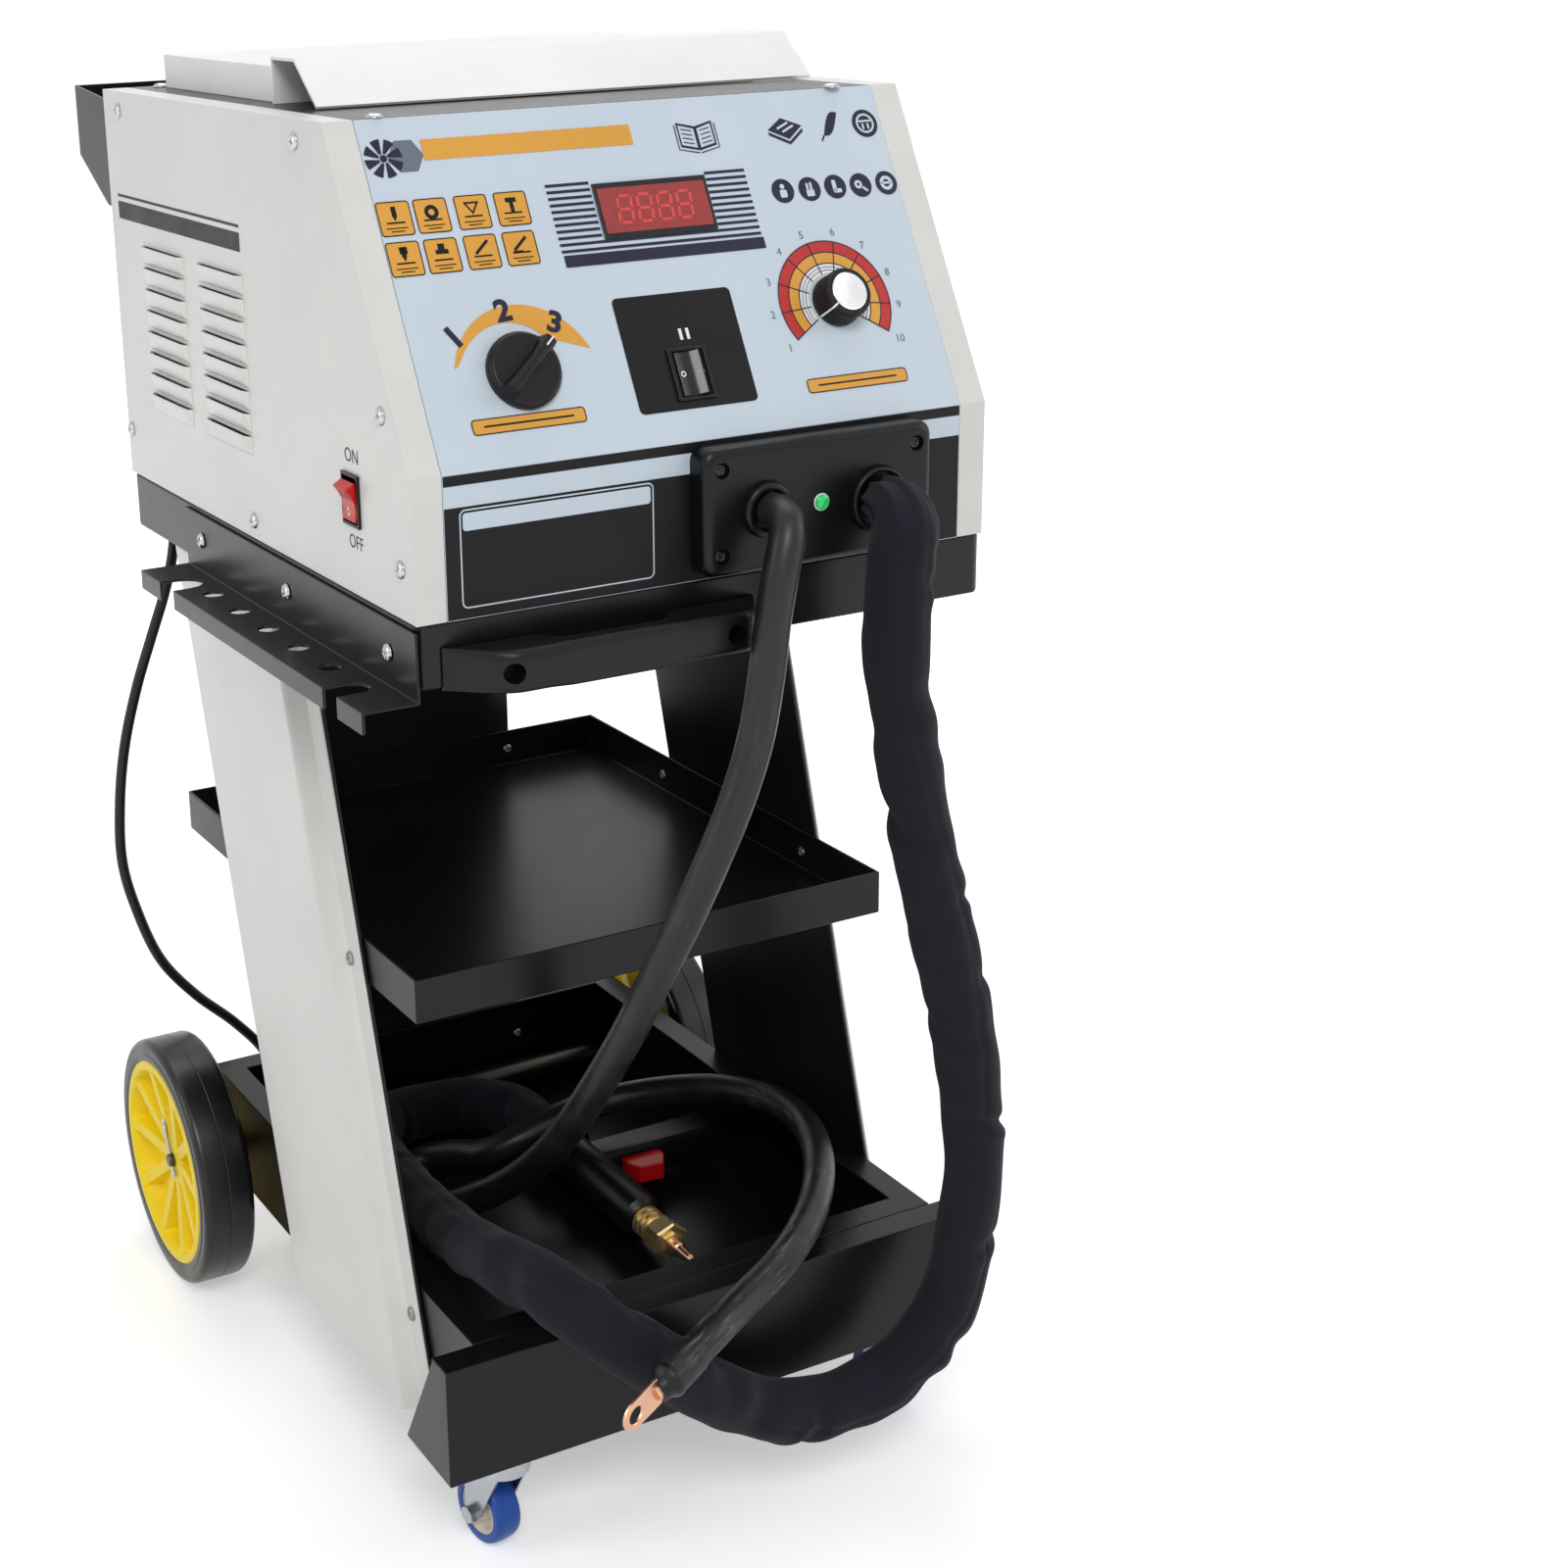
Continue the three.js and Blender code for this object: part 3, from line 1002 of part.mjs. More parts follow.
/** The coil's centre line: spirals in on the lower layer, climbs as it turns, and spirals out on top. */
function coilPoints() {
  const { x, y, outerRadius, loopCount, loopPitch, stepsPerLoop } = coil;
  const points = [vec(coil.start, coil.front, coil.low)];
  const total = 2 * loopCount * stepsPerLoop;
  for (let i = 0; i <= total; i += 1) {
    const turns = i / stepsPerLoop;
    const inward = Math.min(turns, 2 * loopCount - turns);
    const climb = THREE.MathUtils.clamp((turns - loopCount) / climbTurnShare + 1 / 2, 0, 1);
    const radius = outerRadius - inward * loopPitch;
    const angle = 2 * Math.PI * turns - Math.PI / 2;
    points.push(vec(x + radius * Math.cos(angle), y + radius * Math.sin(angle),
      coil.low + climb * coil.layerPitch));
  }
  points.push(vec(x + coil.lead, coil.front, coil.high), vec(x + coil.tail, coil.front, coil.high));
  return points;
}

/** Least distance between two far stretches of a line of points. */
function leastGap(points, diameter, skip) {
  let least = Infinity;
  for (let i = 0; i < points.length - 1; i += 1) {
    for (const far of points.slice(i + skip)) least = Math.min(least, points[i].distanceTo(far));
  }
  return least - diameter;
}

/** One tube through points, a ring of corners at each, closed at both ends. */
function tubeThrough(points, radius, sides) {
  const positions = [];
  const index = [];
  points.forEach((p, i) => {
    const before = points[Math.max(i - 1, 0)];
    const after = points[Math.min(i + 1, points.length - 1)];
    const along = after.clone().sub(before).normalize();
    const across = vec(0, 0, 1).cross(along).normalize();
    const up = along.clone().cross(across);
    for (let k = 0; k < sides; k += 1) {
      const angle = (2 * Math.PI * k) / sides;
      const q = p.clone().addScaledVector(across, radius * Math.cos(angle));
      q.addScaledVector(up, radius * Math.sin(angle));
      positions.push(q.x, q.y, q.z);
    }
  });
  const last = (points.length - 1) * sides;
  for (let i = 0; i < points.length - 1; i += 1) {
    for (let k = 0; k < sides; k += 1) {
      const [a, b] = [i * sides + k, i * sides + ((k + 1) % sides)];
      index.push(a, b, a + sides, b, b + sides, a + sides);
    }
  }
  for (let k = 1; k < sides - 1; k += 1) index.push(0, k + 1, k, last, last + k, last + k + 1);
  const geometry = new THREE.BufferGeometry();
  geometry.setAttribute("position", new THREE.Float32BufferAttribute(positions, 3));
  geometry.setIndex(index);
  return solid(geometry);
}

function mainsCoil() {
  const points = coilPoints();
  const gap = leastGap(points.slice(1, -1), 2 * mainsCord.radius, coil.stepsPerLoop / 2);
  console.log(`mains coil: least gap to itself ${gap.toFixed(2)} mm`);
  return rubberBlack("mains_coil", tubeThrough(points, mainsCord.radius, coil.sides));
}

// Plug at the coil's end, lying on the floor
function mainsPlug() {
  const { radius, length, collarRadius, collarLength, pinRadius, pinLength, pinSpread } = plug;
  const start = coil.x + coil.tail + clear;
  const shoulder = start + collarLength;
  const end = shoulder + length;
  const body = turned("x", [[0, start], [collarRadius, start], [collarRadius, shoulder],
    [radius * plugShoulderShare, shoulder], [radius, shoulder + radius / 2], [radius, end], [0, end]],
  coil.front, coil.high, softSides);
  const pins = [-1, 1].map((side) => bar("x", pinRadius, end - pinLength / 2, end + pinLength,
    coil.front + side * pinSpread, coil.high, fineSides));
  return rubberBlack("mains_plug", join(body, ...pins));
}

// Ground lug: a barrel square on the cable's end and a holed tongue
function groundLug() {
  const { barrelRadius, barrelLength, plateLength, plateHalf: h, thickness, holeRadius } = lug;
  const end = vec(...groundRoute.at(-1));
  const along = end.clone().sub(vec(...groundRoute.at(-2))).normalize();
  const facing = vec(...lugFacingShares);
  facing.addScaledVector(along, -facing.dot(along)).normalize();
  const across = facing.clone().cross(along);
  const body = bar("x", barrelRadius, clear, barrelLength, 0, 0);
  const bend = barrelLength + plateLength - h;
  const root = h * lugRootShare;
  const tip = h * lugTipShare;
  const tongue = [[barrelLength / 2, -root], [barrelLength, -h], [bend, -h], [bend + tip, -tip],
    [bend + h, 0], [bend + tip, tip], [bend, h], [barrelLength, h], [barrelLength / 2, root]];
  const plate = prism("z", tongue, -thickness / 2, thickness / 2, [circle(bend, 0, holeRadius).reverse()]);
  const piece = copper("ground_lug", join(body, plate));
  piece.matrix.makeBasis(along, across, facing).setPosition(end);
  piece.matrix.decompose(piece.position, piece.quaternion, piece.scale);
  return piece;
}

// Gun: barrel lying in the box, its grip to the right, the trigger, and the brass chuck with its tip
function gunBody() {
  const { x, z, front, rear, radius, edge, collarRadius, gripY, gripHalf, gripEnd, gripThick } = gun;
  const collar = rear - gun.collarLength;
  const barrel = turned("y", [[0, front], [radius - edge, front], [radius, front + edge],
    [radius, collar - edge], [collarRadius, collar], [collarRadius, rear], [0, rear]], z, x, softSides);
  const section = roundedBox(gripY - gripHalf, gripY + gripHalf, z - gripThick, z + gripThick,
    gripThick / 2, 3);
  const seat = gripY - gripHalf;
  const a = trigger.length / 2 + clear;
  const b = trigger.half + clear;
  const pocket = block(trigger.x - a, trigger.x + a, seat - overrun, seat + trigger.pocket, z - b, z + b);
  const spigot = bar("y", gun.spigotRadius + clear, front - overrun, front + gun.spigotDepth + clear, z, x);
  return plasticBlack("gun_body", cut(join(barrel, prism("x", section, x, gripEnd)), pocket, spigot));
}

function gunTrigger() {
  const { x, length, half, reach, seatDepth } = trigger;
  const left = x - length / 2 + clear;
  const right = x + length / 2 - clear;
  const seat = gun.gripY - gun.gripHalf;
  const front = triggerShares.map(([alongShare, outShare]) => [left + (right - left) * alongShare,
    seat - reach * outShare]);
  const outline = [[left, seat + seatDepth], [right, seat + seatDepth], ...front];
  return plasticRed("gun_trigger", prism("z", outline, gun.z - half, gun.z + half));
}

function gunChuck() {
  const { x, z, front, chuckRadius, chuckLength, ribCount, nutRadius, nutLength, tipRadius } = gun;
  const { tipLength, spigotRadius, spigotDepth } = gun;
  const start = front - clear;
  const nutRear = start - chuckLength;
  const nutFront = nutRear - nutLength;
  const tip = nutFront - tipLength;
  const ribs = [[spigotRadius, start], [chuckRadius, start]];
  for (let i = 0; i < ribCount; i += 1) {
    for (const [outShare, alongShare] of chuckRibShares) {
      ribs.push([chuckRadius * outShare, start - (chuckLength * (i + alongShare)) / ribCount]);
    }
  }
  const body = turned("y", [[0, front + spigotDepth], [spigotRadius, front + spigotDepth], ...ribs,
    [0, nutRear]], z, x, smallSides);
  const nut = bar("y", nutRadius, nutFront, nutRear + clear, z, x, hexSides);
  const point = tipShares.map(([outShare, alongShare]) => [tipRadius * outShare,
    nutFront + clear - (tipLength + clear) * alongShare]);
  const electrode = turned("y", [[0, nutFront + clear], ...point, [0, tip]], z, x, smallSides);
  const hollow = bar("y", gun.tipBoreRadius, tip - overrun, tip + gun.tipBoreDepth, z, x, fineSides);
  return mesh("gun_chuck", cut(join(body, nut, electrode), hollow), 0xd2a24a, 0.3, 0.9);
}

// Put the machine together
machine.add(baseBox(), frontBumper(), middleTray(), backPanel(), topPan(), toolRack(), frontHandle(),
  rearAxle());
for (const [word, side] of [["left", -1], ["right", 1]]) {
  machine.add(uprightPlate(`${word}_upright_plate`, side), uprightCover(`${word}_upright_cover`, side),
    wheelHub(`${word}_wheel_hub`, side), tyre(`${word}_tyre`, side), sidePanel(`${word}_side_panel`, side));
  addCaster(word, side);
}
machine.add(frontPanel(), topPlate(), rearPanel(), topCover(), rearTrough(), terminalBox(),
  cableRing("ground_gland", terminal.groundX, terminal.groundZ, terminal.groundRing, terminal.groundBore),
  cableRing("gun_gland", terminal.gunX, terminal.gunZ, terminal.gunRing, terminal.gunBore),
  indicatorLens());

const modeGroup = rockerSwitch("mode", modeSwitch, plasticBlack);
modeGroup.position.set(...slopePlace(modeSwitch), 0);
modeGroup.rotation.z = radians(modeSwitch.turnDegrees);
slope.add(displayWindow(), modeGroup, controlBoard());
addKnobs();

const mainGroup = rockerSwitch("main", mainSwitch, plasticRed);
const mainFacing = new THREE.Matrix4().makeBasis(vec(0, -1, 0), vec(0, 0, 1), vec(-1, 0, 0));
mainGroup.position.set(-hood.halfWidth, hood.front + mainSwitch.frontInset, hood.base + mainSwitch.rise);
mainGroup.quaternion.setFromRotationMatrix(mainFacing);
machine.add(mainGroup);

machine.add(fanFrame(), fanRotor(), transformerCore(), primaryWinding(), groundBusbar(), gunBusbar(),
  heatSink(), mainsGlandPiece());
machine.add(rubberBlack("mains_cable", cord(mainsRoute, mainsCord)), mainsCoil(), mainsPlug(),
  mesh("ground_cable", cord(groundRoute, groundCord), 0x3c3d40, 0.3, 0), groundLug(),
  mesh("gun_sleeve", cord(sleeveRoute, sleeve), 0x26272d, 0.85, 0), gunBody(), gunTrigger(), gunChuck());

const spotWelder = new THREE.Group();
spotWelder.add(machine);

export default spotWelder;
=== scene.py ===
import json
import math
import bmesh
import bpy
import numpy as np
from mathutils import Matrix, Vector
from mathutils.bvhtree import BVHTree
from mathutils.geometry import tessellate_polygon

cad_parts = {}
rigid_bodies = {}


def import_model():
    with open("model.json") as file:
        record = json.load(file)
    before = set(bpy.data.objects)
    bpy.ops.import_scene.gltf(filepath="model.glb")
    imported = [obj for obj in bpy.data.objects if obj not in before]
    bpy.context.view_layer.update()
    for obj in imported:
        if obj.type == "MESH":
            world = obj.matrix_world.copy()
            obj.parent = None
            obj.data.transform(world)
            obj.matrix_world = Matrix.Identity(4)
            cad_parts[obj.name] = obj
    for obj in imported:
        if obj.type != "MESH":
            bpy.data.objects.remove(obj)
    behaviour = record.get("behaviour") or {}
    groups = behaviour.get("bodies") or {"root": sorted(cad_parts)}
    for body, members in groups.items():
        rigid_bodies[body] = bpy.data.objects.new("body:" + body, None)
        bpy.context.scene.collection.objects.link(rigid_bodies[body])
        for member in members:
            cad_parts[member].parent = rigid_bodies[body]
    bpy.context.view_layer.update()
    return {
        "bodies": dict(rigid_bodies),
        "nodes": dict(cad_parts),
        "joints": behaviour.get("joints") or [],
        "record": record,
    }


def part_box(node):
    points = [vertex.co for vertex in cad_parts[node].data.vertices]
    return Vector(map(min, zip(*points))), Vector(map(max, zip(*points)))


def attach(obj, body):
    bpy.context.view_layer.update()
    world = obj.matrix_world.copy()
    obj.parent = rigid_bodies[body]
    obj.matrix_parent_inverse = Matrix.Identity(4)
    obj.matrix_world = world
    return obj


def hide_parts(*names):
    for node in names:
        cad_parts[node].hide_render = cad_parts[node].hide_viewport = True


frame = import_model()
nodes = frame["nodes"]

mm = 0.001
front = (0, -1, 0)  # the way to the machine's front
panFront = -153.8  # where the pan's front lies in the machine's own places, in mm
panLow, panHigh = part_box("pan")
machineOrigin = np.array([(panLow.x + panHigh.x) / 2, panLow.y - panFront * mm, 0.0])


def place(points):
    # the machine's own millimetres turned into the frame's metres
    return np.asarray(points, float) * mm + machineOrigin


def machineBox(node):
    # a node's two corners in the machine's millimetres
    return [(np.array(corner) - machineOrigin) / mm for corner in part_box(node)]


print("frame loaded", len(nodes), "nodes")


# Materials

def linear(hexColour):
    # sRGB hex to the linear colour that the shaders use
    raw = np.array([int(hexColour[i:i + 2], 16) for i in (1, 3, 5)]) / 255
    low, high = raw / 12.92, ((raw + 0.055) / 1.055) ** 2.4
    return (*np.where(raw <= 0.04045, low, high).tolist(), 1.0)


def feed(tree, node, **inputs):
    # values and links into a node's sockets, by name with _ for a space, or by number as i0 and i1
    for key, value in inputs.items():
        socket = node.inputs[int(key[1:]) if key[1:].isdigit() else key.replace("_", " ")]
        if isinstance(value, bpy.types.NodeSocket):
            tree.links.new(value, socket)
        else:
            socket.default_value = value


def addNode(tree, kind, output=0, settings=(), **inputs):
    # adds one shader node with its settings, values and links, and gives one of its outputs
    node = tree.nodes.new("ShaderNode" + kind)
    for key, value in settings:
        setattr(node, key, value)
    feed(tree, node, **inputs)
    return node.outputs[output] if node.outputs else node


multiply = [("operation", "MULTIPLY")]
middling = {"From_Min": 0.35, "From_Max": 0.65}  # where most of a noise's values lie


def newMaterial(name, slotName, **values):
    material = bpy.data.materials.new(name)
    material.use_nodes = True
    tree = material.node_tree
    shader = tree.nodes["Principled BSDF"]
    feed(tree, shader, **values)
    return material, tree, shader


def finish(tree, shader, colour, tone, height=None, relief=0.0, depth=0.0, **inputs):
    # the colour made lighter and darker by tone, and a height turned into relief, depth metres deep
    shaded = addNode(tree, "VectorMath", 0, [("operation", "SCALE")], i0=linear(colour)[:3], Scale=tone)
    feed(tree, shader, Base_Color=shaded, **inputs)
    if height:
        feed(tree, shader, Normal=addNode(tree, "Bump", Height=height, Strength=relief, Distance=depth))


def coated(name, slotName, colour, roughness, grain, relief, drift=0.03, smear=0.12, gleam=0.5):
    # a coat, film or moulding: grain (its size in mm) in the relief, broad drift in tone, smears in the gloss
    material, tree, shader = newMaterial(name, slotName, IOR=1.5, Specular_IOR_Level=gleam)
    where = addNode(tree, "TexCoord", "Object")
    fine, broad, wiped = (
        addNode(tree, "TexNoise", "Fac", Vector=where, Scale=1 / (size * mm), Detail=detail, Roughness=rough)
        for size, detail, rough in ((grain, 1.0, 0.55), (90.0, 4.0, 0.55), (35.0, 5.0, 0.7)))
    tone, gloss = (
        addNode(tree, "MapRange", Value=value, To_Min=middle * (1 - swing), To_Max=middle * (1 + swing), **middling)
        for value, middle, swing in ((broad, 1, drift), (wiped, roughness, smear)))
    finish(tree, shader, colour, tone, fine, relief, grain * mm * 0.12, Roughness=gloss)
    return material


# Epoxy powder, sprayed on folded sheet and baked: an even sheen with orange peel, which is drawn twice as coarse
# as it is so that it shows at all. The black coats stay almost smooth, or each bump would shine as a speck.
whitePaint = coated("whiteEpoxyPowder", "steel_light", "#e0e0dd", 0.34, 2.6, 0.14, smear=0.06)
lidPaint = coated("lidEpoxyPowder", "lid_white", "#efefee", 0.36, 2.6, 0.14, smear=0.06)
blackPaint = coated("blackEpoxyPowder", "steel_dark", "#0f0f11", 0.3, 2.6, 0.015, smear=0.05, gleam=0.26)
greyPaint = coated("charcoalEpoxyPowder", "steel_grey", "#17171a", 0.34, 2.6, 0.02, smear=0.05, gleam=0.26)
# Polyester film and its screen printed inks: flat, satin and even, so that the printed edges read sharp
panelFilm = coated("satinPolyesterFilm", "panel_blue", "#cddae6", 0.4, 0.4, 0.06, drift=0.012)
navyInk = coated("screenPrintedNavy", "plastic_black", "#1d1d34", 0.38, 0.4, 0.05, gleam=0.3)
charcoalInk = coated("screenPrintedCharcoal", "plastic_black", "#101013", 0.42, 0.4, 0.05, gleam=0.2)
orangeInk = coated("screenPrintedOrange", "hub_yellow", "#e2a33e", 0.4, 0.4, 0.05)
redInk = coated("screenPrintedRed", "plastic_red", "#bf2420", 0.4, 0.4, 0.05)
whiteInk = coated("screenPrintedWhite", "lid_white", "#eef0f2", 0.4, 0.4, 0.05)
greyInk = coated("screenPrintedGrey", "steel_grey", "#66707c", 0.4, 0.4, 0.05)
# ABS, moulded in a spark eroded tool: its grain breaks up the gloss. A polished tool gives the clear highlights.
blackPlastic = coated("mouldedBlackAbs", "plastic_black", "#0e0e10", 0.36, 0.7, 0.25, smear=0.08, gleam=0.26)
boxPlastic = coated("mouldedTerminalAbs", "plastic_black", "#0e0e10", 0.32, 0.7, 0.14, smear=0.08, gleam=0.24)
glossPlastic = coated("polishedBlackAbs", "plastic_black", "#101012", 0.2, 0.8, 0.05, gleam=0.4)
redPlastic = coated("polishedRedAbs", "plastic_red", "#c8100d", 0.28, 0.8, 0.04, gleam=0.32)
# Moulded nylon and cast polyurethane: a waxy, soft highlight on a plain strong colour
yellowPlastic = coated("mouldedYellowNylon", "hub_yellow", "#f9dc1a", 0.42, 0.9, 0.12, gleam=0.3)
beigePlastic = coated("mouldedBeigeNylon", "caster_blue", "#d8d1bd", 0.42, 0.6, 0.15)
bluePlastic = coated("castBluePolyurethane", "caster_blue", "#1f4fa6", 0.36, 0.9, 0.1, drift=0.05, gleam=0.3)
# Vulcanised rubber and extruded PVC: dark, with a dull bloom in patches
rubber = coated("vulcanisedRubber", "tyre_rubber", "#111112", 0.32, 1.2, 0.05, drift=0.12, gleam=0.4)
cordRubber = coated("extrudedBlackPvc", "cord_black", "#111113", 0.42, 1.2, 0.12, gleam=0.3)
# Photo-etched solder mask: a clear green varnish over copper
solderMask = coated("photoEtchedSolderMask", "pcb", "#1c6b38", 0.3, 1.5, 0.2, drift=0.1)


def brushed(name, slotName, colour, roughness, length, width, relief):
    # worked metal: marks along Z, length by width in mm, in the gloss and relief, and broad stains in the tone
    material, tree, shader = newMaterial(name, slotName, Metallic=1.0)
    where = addNode(tree, "TexCoord", "Object")
    drawn = addNode(tree, "Mapping", Vector=where, Scale=[1 / (size * mm) for size in (width, width, length)])
    marks = addNode(tree, "TexNoise", "Fac", Vector=drawn, Scale=1.0, Detail=4.0)
    stain = addNode(tree, "TexNoise", "Fac", Vector=where, Scale=1 / (14.0 * mm), Detail=5.0, Roughness=0.65)
    tone, gloss = (
        addNode(tree, "MapRange", Value=value, To_Min=low, To_Max=high, **middling)
        for value, low, high in ((stain, 0.95, 1.04), (marks, roughness * 0.85, roughness * 1.15)))
    finish(tree, shader, colour, tone, marks, relief, 0.01 * mm, Roughness=gloss)
    return material


# Bright zinc, plated on pressed steel: a cool, blurred mirror. Cast zinc and oiled bar are duller and darker.
zincPlate = brushed("platedBrightZinc", "zinc", "#b4b8bc", 0.24, 3.0, 0.8, 0.2)
castZinc = brushed("castDullZinc", "zinc", "#8f8f88", 0.42, 2.0, 1.2, 0.3)
oiledSteel = brushed("turnedOiledSteel", "zinc", "#55554f", 0.36, 2.0, 0.8, 0.3)
# Drawn copper keeps long marks, turned brass and spun aluminium keep fine rings that widen the highlight
copperMetal = brushed("drawnCopper", "copper", "#e2b194", 0.3, 6.0, 0.5, 0.2)
brassMetal = brushed("turnedBrass", "brass", "#f0d8a0", 0.42, 0.4, 4.0, 0.2)
silverCap = brushed("spunAluminium", "zinc", "#e3e4e6", 0.22, 0.3, 0.3, 0.25)
aluminium = brushed("extrudedAluminium", "sink", "#a9acb0", 0.36, 8.0, 0.6, 0.4)


def stacked(name, slotName, colour, roughness, pitch, relief, metallic):
    # layers pitch mm apart up Z, lit and shaded one by one, with stains in the tone
    material, tree, shader = newMaterial(name, slotName, Metallic=metallic, Roughness=roughness)
    where = addNode(tree, "TexCoord", "Object")
    layers = addNode(tree, "TexWave", "Fac", [("bands_direction", "Z")], Vector=where,
                     Scale=1 / (pitch * mm) / 6.28 * 2, Distortion=0.4, Detail=1.0)
    stain = addNode(tree, "TexNoise", "Fac", Vector=where, Scale=1 / (18.0 * mm), Detail=4.0, Roughness=0.6)
    tone = addNode(tree, "MapRange", Value=stain, To_Min=0.8, To_Max=1.1, **middling)
    finish(tree, shader, colour, tone, layers, relief, pitch * mm * 0.4)
    return material


# Stamped, varnished laminations and wound enamelled wire: rows of thin dark lines
laminations = stacked("stampedLaminations", "core_steel", "#5f6266", 0.42, 1.0, 0.5, 0.8)
woundWire = stacked("enamelledWire", "winding", "#a4562a", 0.3, 2.2, 0.9, 0.7)


def wovenSleeve():
    # plain woven nylon, threads 1.1 mm apart both ways on the UV in metres: a dull cloth with broad patches of dust,
    # and painted shade between the threads that leaves the high threads lighter
    material, tree, shader = newMaterial("wovenNylon", "sleeve_fabric", Sheen_Weight=0.06, Sheen_Roughness=0.5,
                                         IOR=1.5, Specular_IOR_Level=0.2)
    uv, where = (addNode(tree, "TexCoord", output) for output in ("UV", "Object"))
    warp, weft = (addNode(tree, "TexWave", "Fac", [("bands_direction", side)], Vector=uv,
                          Scale=1 / (1.1 * mm) / 3.14, Distortion=0.0) for side in "XY")
    weave = addNode(tree, "Math", 0, multiply, i0=warp, i1=weft)
    dust = addNode(tree, "TexNoise", "Fac", Vector=where, Scale=1 / (22.0 * mm), Detail=6.0, Roughness=0.7)
    dusty, gloss = (addNode(tree, "MapRange", Value=dust, To_Min=low, To_Max=high, **middling)
                    for low, high in ((0.75, 1.45), (0.8, 0.95)))
    # painted shade: the weave's height darkens the colour in the gaps between threads and lightens it on the high
    # threads
    paintedThreadShade = addNode(tree, "MapRange", Value=weave, To_Min=0.8, To_Max=1.15)
    tone = addNode(tree, "Math", 0, multiply, i0=dusty, i1=paintedThreadShade)
    finish(tree, shader, "#1a1b24", tone, weave, 0.5, 0.25 * mm, Roughness=gloss)
    return material


def clearJacket():
    # smoke grey PVC extruded over laid strands: their slant shows through a wet-looking skin, which carries pale grey
    # streaks from about a metre on, partly rubbed scuffs and partly a painted highlight along the cable's bends
    material, tree, shader = newMaterial("extrudedSmokePvc", "cord_clear", IOR=1.53, Specular_IOR_Level=0.32)
    uv, where = (addNode(tree, "TexCoord", output) for output in ("UV", "Object"))
    slanted = addNode(tree, "Mapping", Vector=uv, Rotation=(0.0, 0.0, math.radians(28)))
    strands = addNode(tree, "TexWave", "Fac", [("bands_direction", "X")], Vector=slanted,
                      Scale=1 / (2.6 * mm) / 3.14, Distortion=0.6, Detail=1.5)
    streaks = addNode(tree, "Mapping", Vector=uv, Scale=(260.0, 34.0, 1.0))
    rubAndSheenNoise = addNode(tree, "TexNoise", "Fac", Vector=streaks, Scale=1.0, Detail=5.0, Roughness=0.7)
    haze, patches = (
        addNode(tree, "TexNoise", "Fac", Vector=where, Scale=1 / (size * mm), Detail=detail, Roughness=rough)
        for size, detail, rough in ((26.0, 4.0, 0.6), (60.0, 2.0, 0.55)))
    along = addNode(tree, "SeparateXYZ", "Y", Vector=uv)
    hazy, laid, gloss, rubAndSheenMask, patchy, fromAMetreOn = (
        addNode(tree, "MapRange", Value=value, From_Min=start, From_Max=end, To_Min=low, To_Max=high)
        for value, start, end, low, high in (
            (haze, 0.35, 0.65, 0.85, 1.2), (strands, 0.0, 1.0, 0.93, 1.05), (haze, 0.35, 0.65, 0.32, 0.48),
            (rubAndSheenNoise, 0.53, 0.66, 0.0, 1.0), (patches, 0.46, 0.6, 0.0, 0.6), (along, 1.0, 1.35, 0.12, 0.8)))
    tone = addNode(tree, "Math", 0, multiply, i0=hazy, i1=laid)
    # pale grey streaks mixed into the colour: partly scuffs, partly a painted highlight on the bends
    scuffAndHighlight = addNode(tree, "Math", 0, multiply, i0=rubAndSheenMask, i1=patchy)
    scuffAndHighlight = addNode(tree, "Math", 0, multiply, i0=scuffAndHighlight, i1=fromAMetreOn)
    skin = addNode(tree, "VectorMath", 0, [("operation", "SCALE")], i0=linear("#1c1c1f")[:3], Scale=tone)
    feed(tree, shader, Roughness=gloss, Base_Color=addNode(
        tree, "Mix", 2, [("data_type", "RGBA")], Factor=scuffAndHighlight, A=skin, B=linear("#8d8c88")))
    return material


def glowLens(name, slotName, colour, glow, strength):
    # acrylic moulded clear over a lamp: a glassy skin with a little glow behind it, a touch uneven
    material, tree, shader = newMaterial(name, slotName, IOR=1.49, Roughness=0.12, Coat_Weight=0.5,
                                         Emission_Color=linear(glow), Emission_Strength=strength)
    where = addNode(tree, "TexCoord", "Object")
    haze = addNode(tree, "TexNoise", "Fac", Vector=where, Scale=1 / (6.0 * mm), Detail=2.0, Roughness=0.55)
    finish(tree, shader, colour, addNode(tree, "MapRange", Value=haze, To_Min=0.85, To_Max=1.1, **middling))
    return material


sleeveFabric = wovenSleeve()
cableJacket = clearJacket()
greenLens = glowLens("mouldedGreenAcrylic", "lens_green", "#0fbf60", "#0ccc65", 0.35)
displayGlass = glowLens("castRedAcrylic", "display_dark", "#7a1214", "#b02020", 0.3)
digitGlow = glowLens("litDisplayDigits", "plastic_red", "#b02a28", "#d84040", 0.4)

print("materials made")


# Mesh helpers

def roundAngles(count):
    return np.linspace(0, 2 * math.pi, count, endpoint=False)


def eased(values):
    # held from 0 to 1, with a soft start and end
    held = np.clip(values, 0, 1)
    return held * held * (3 - 2 * held)


def squareTo(axis):
    # the axis one long, and two directions square to it
    axis = np.asarray(axis, float) / np.linalg.norm(axis)
    side = np.cross(axis, (0, 0, 1) if abs(axis[2]) < 0.9 else (1, 0, 0))
    side /= np.linalg.norm(side)
    return axis, side, np.cross(axis, side)


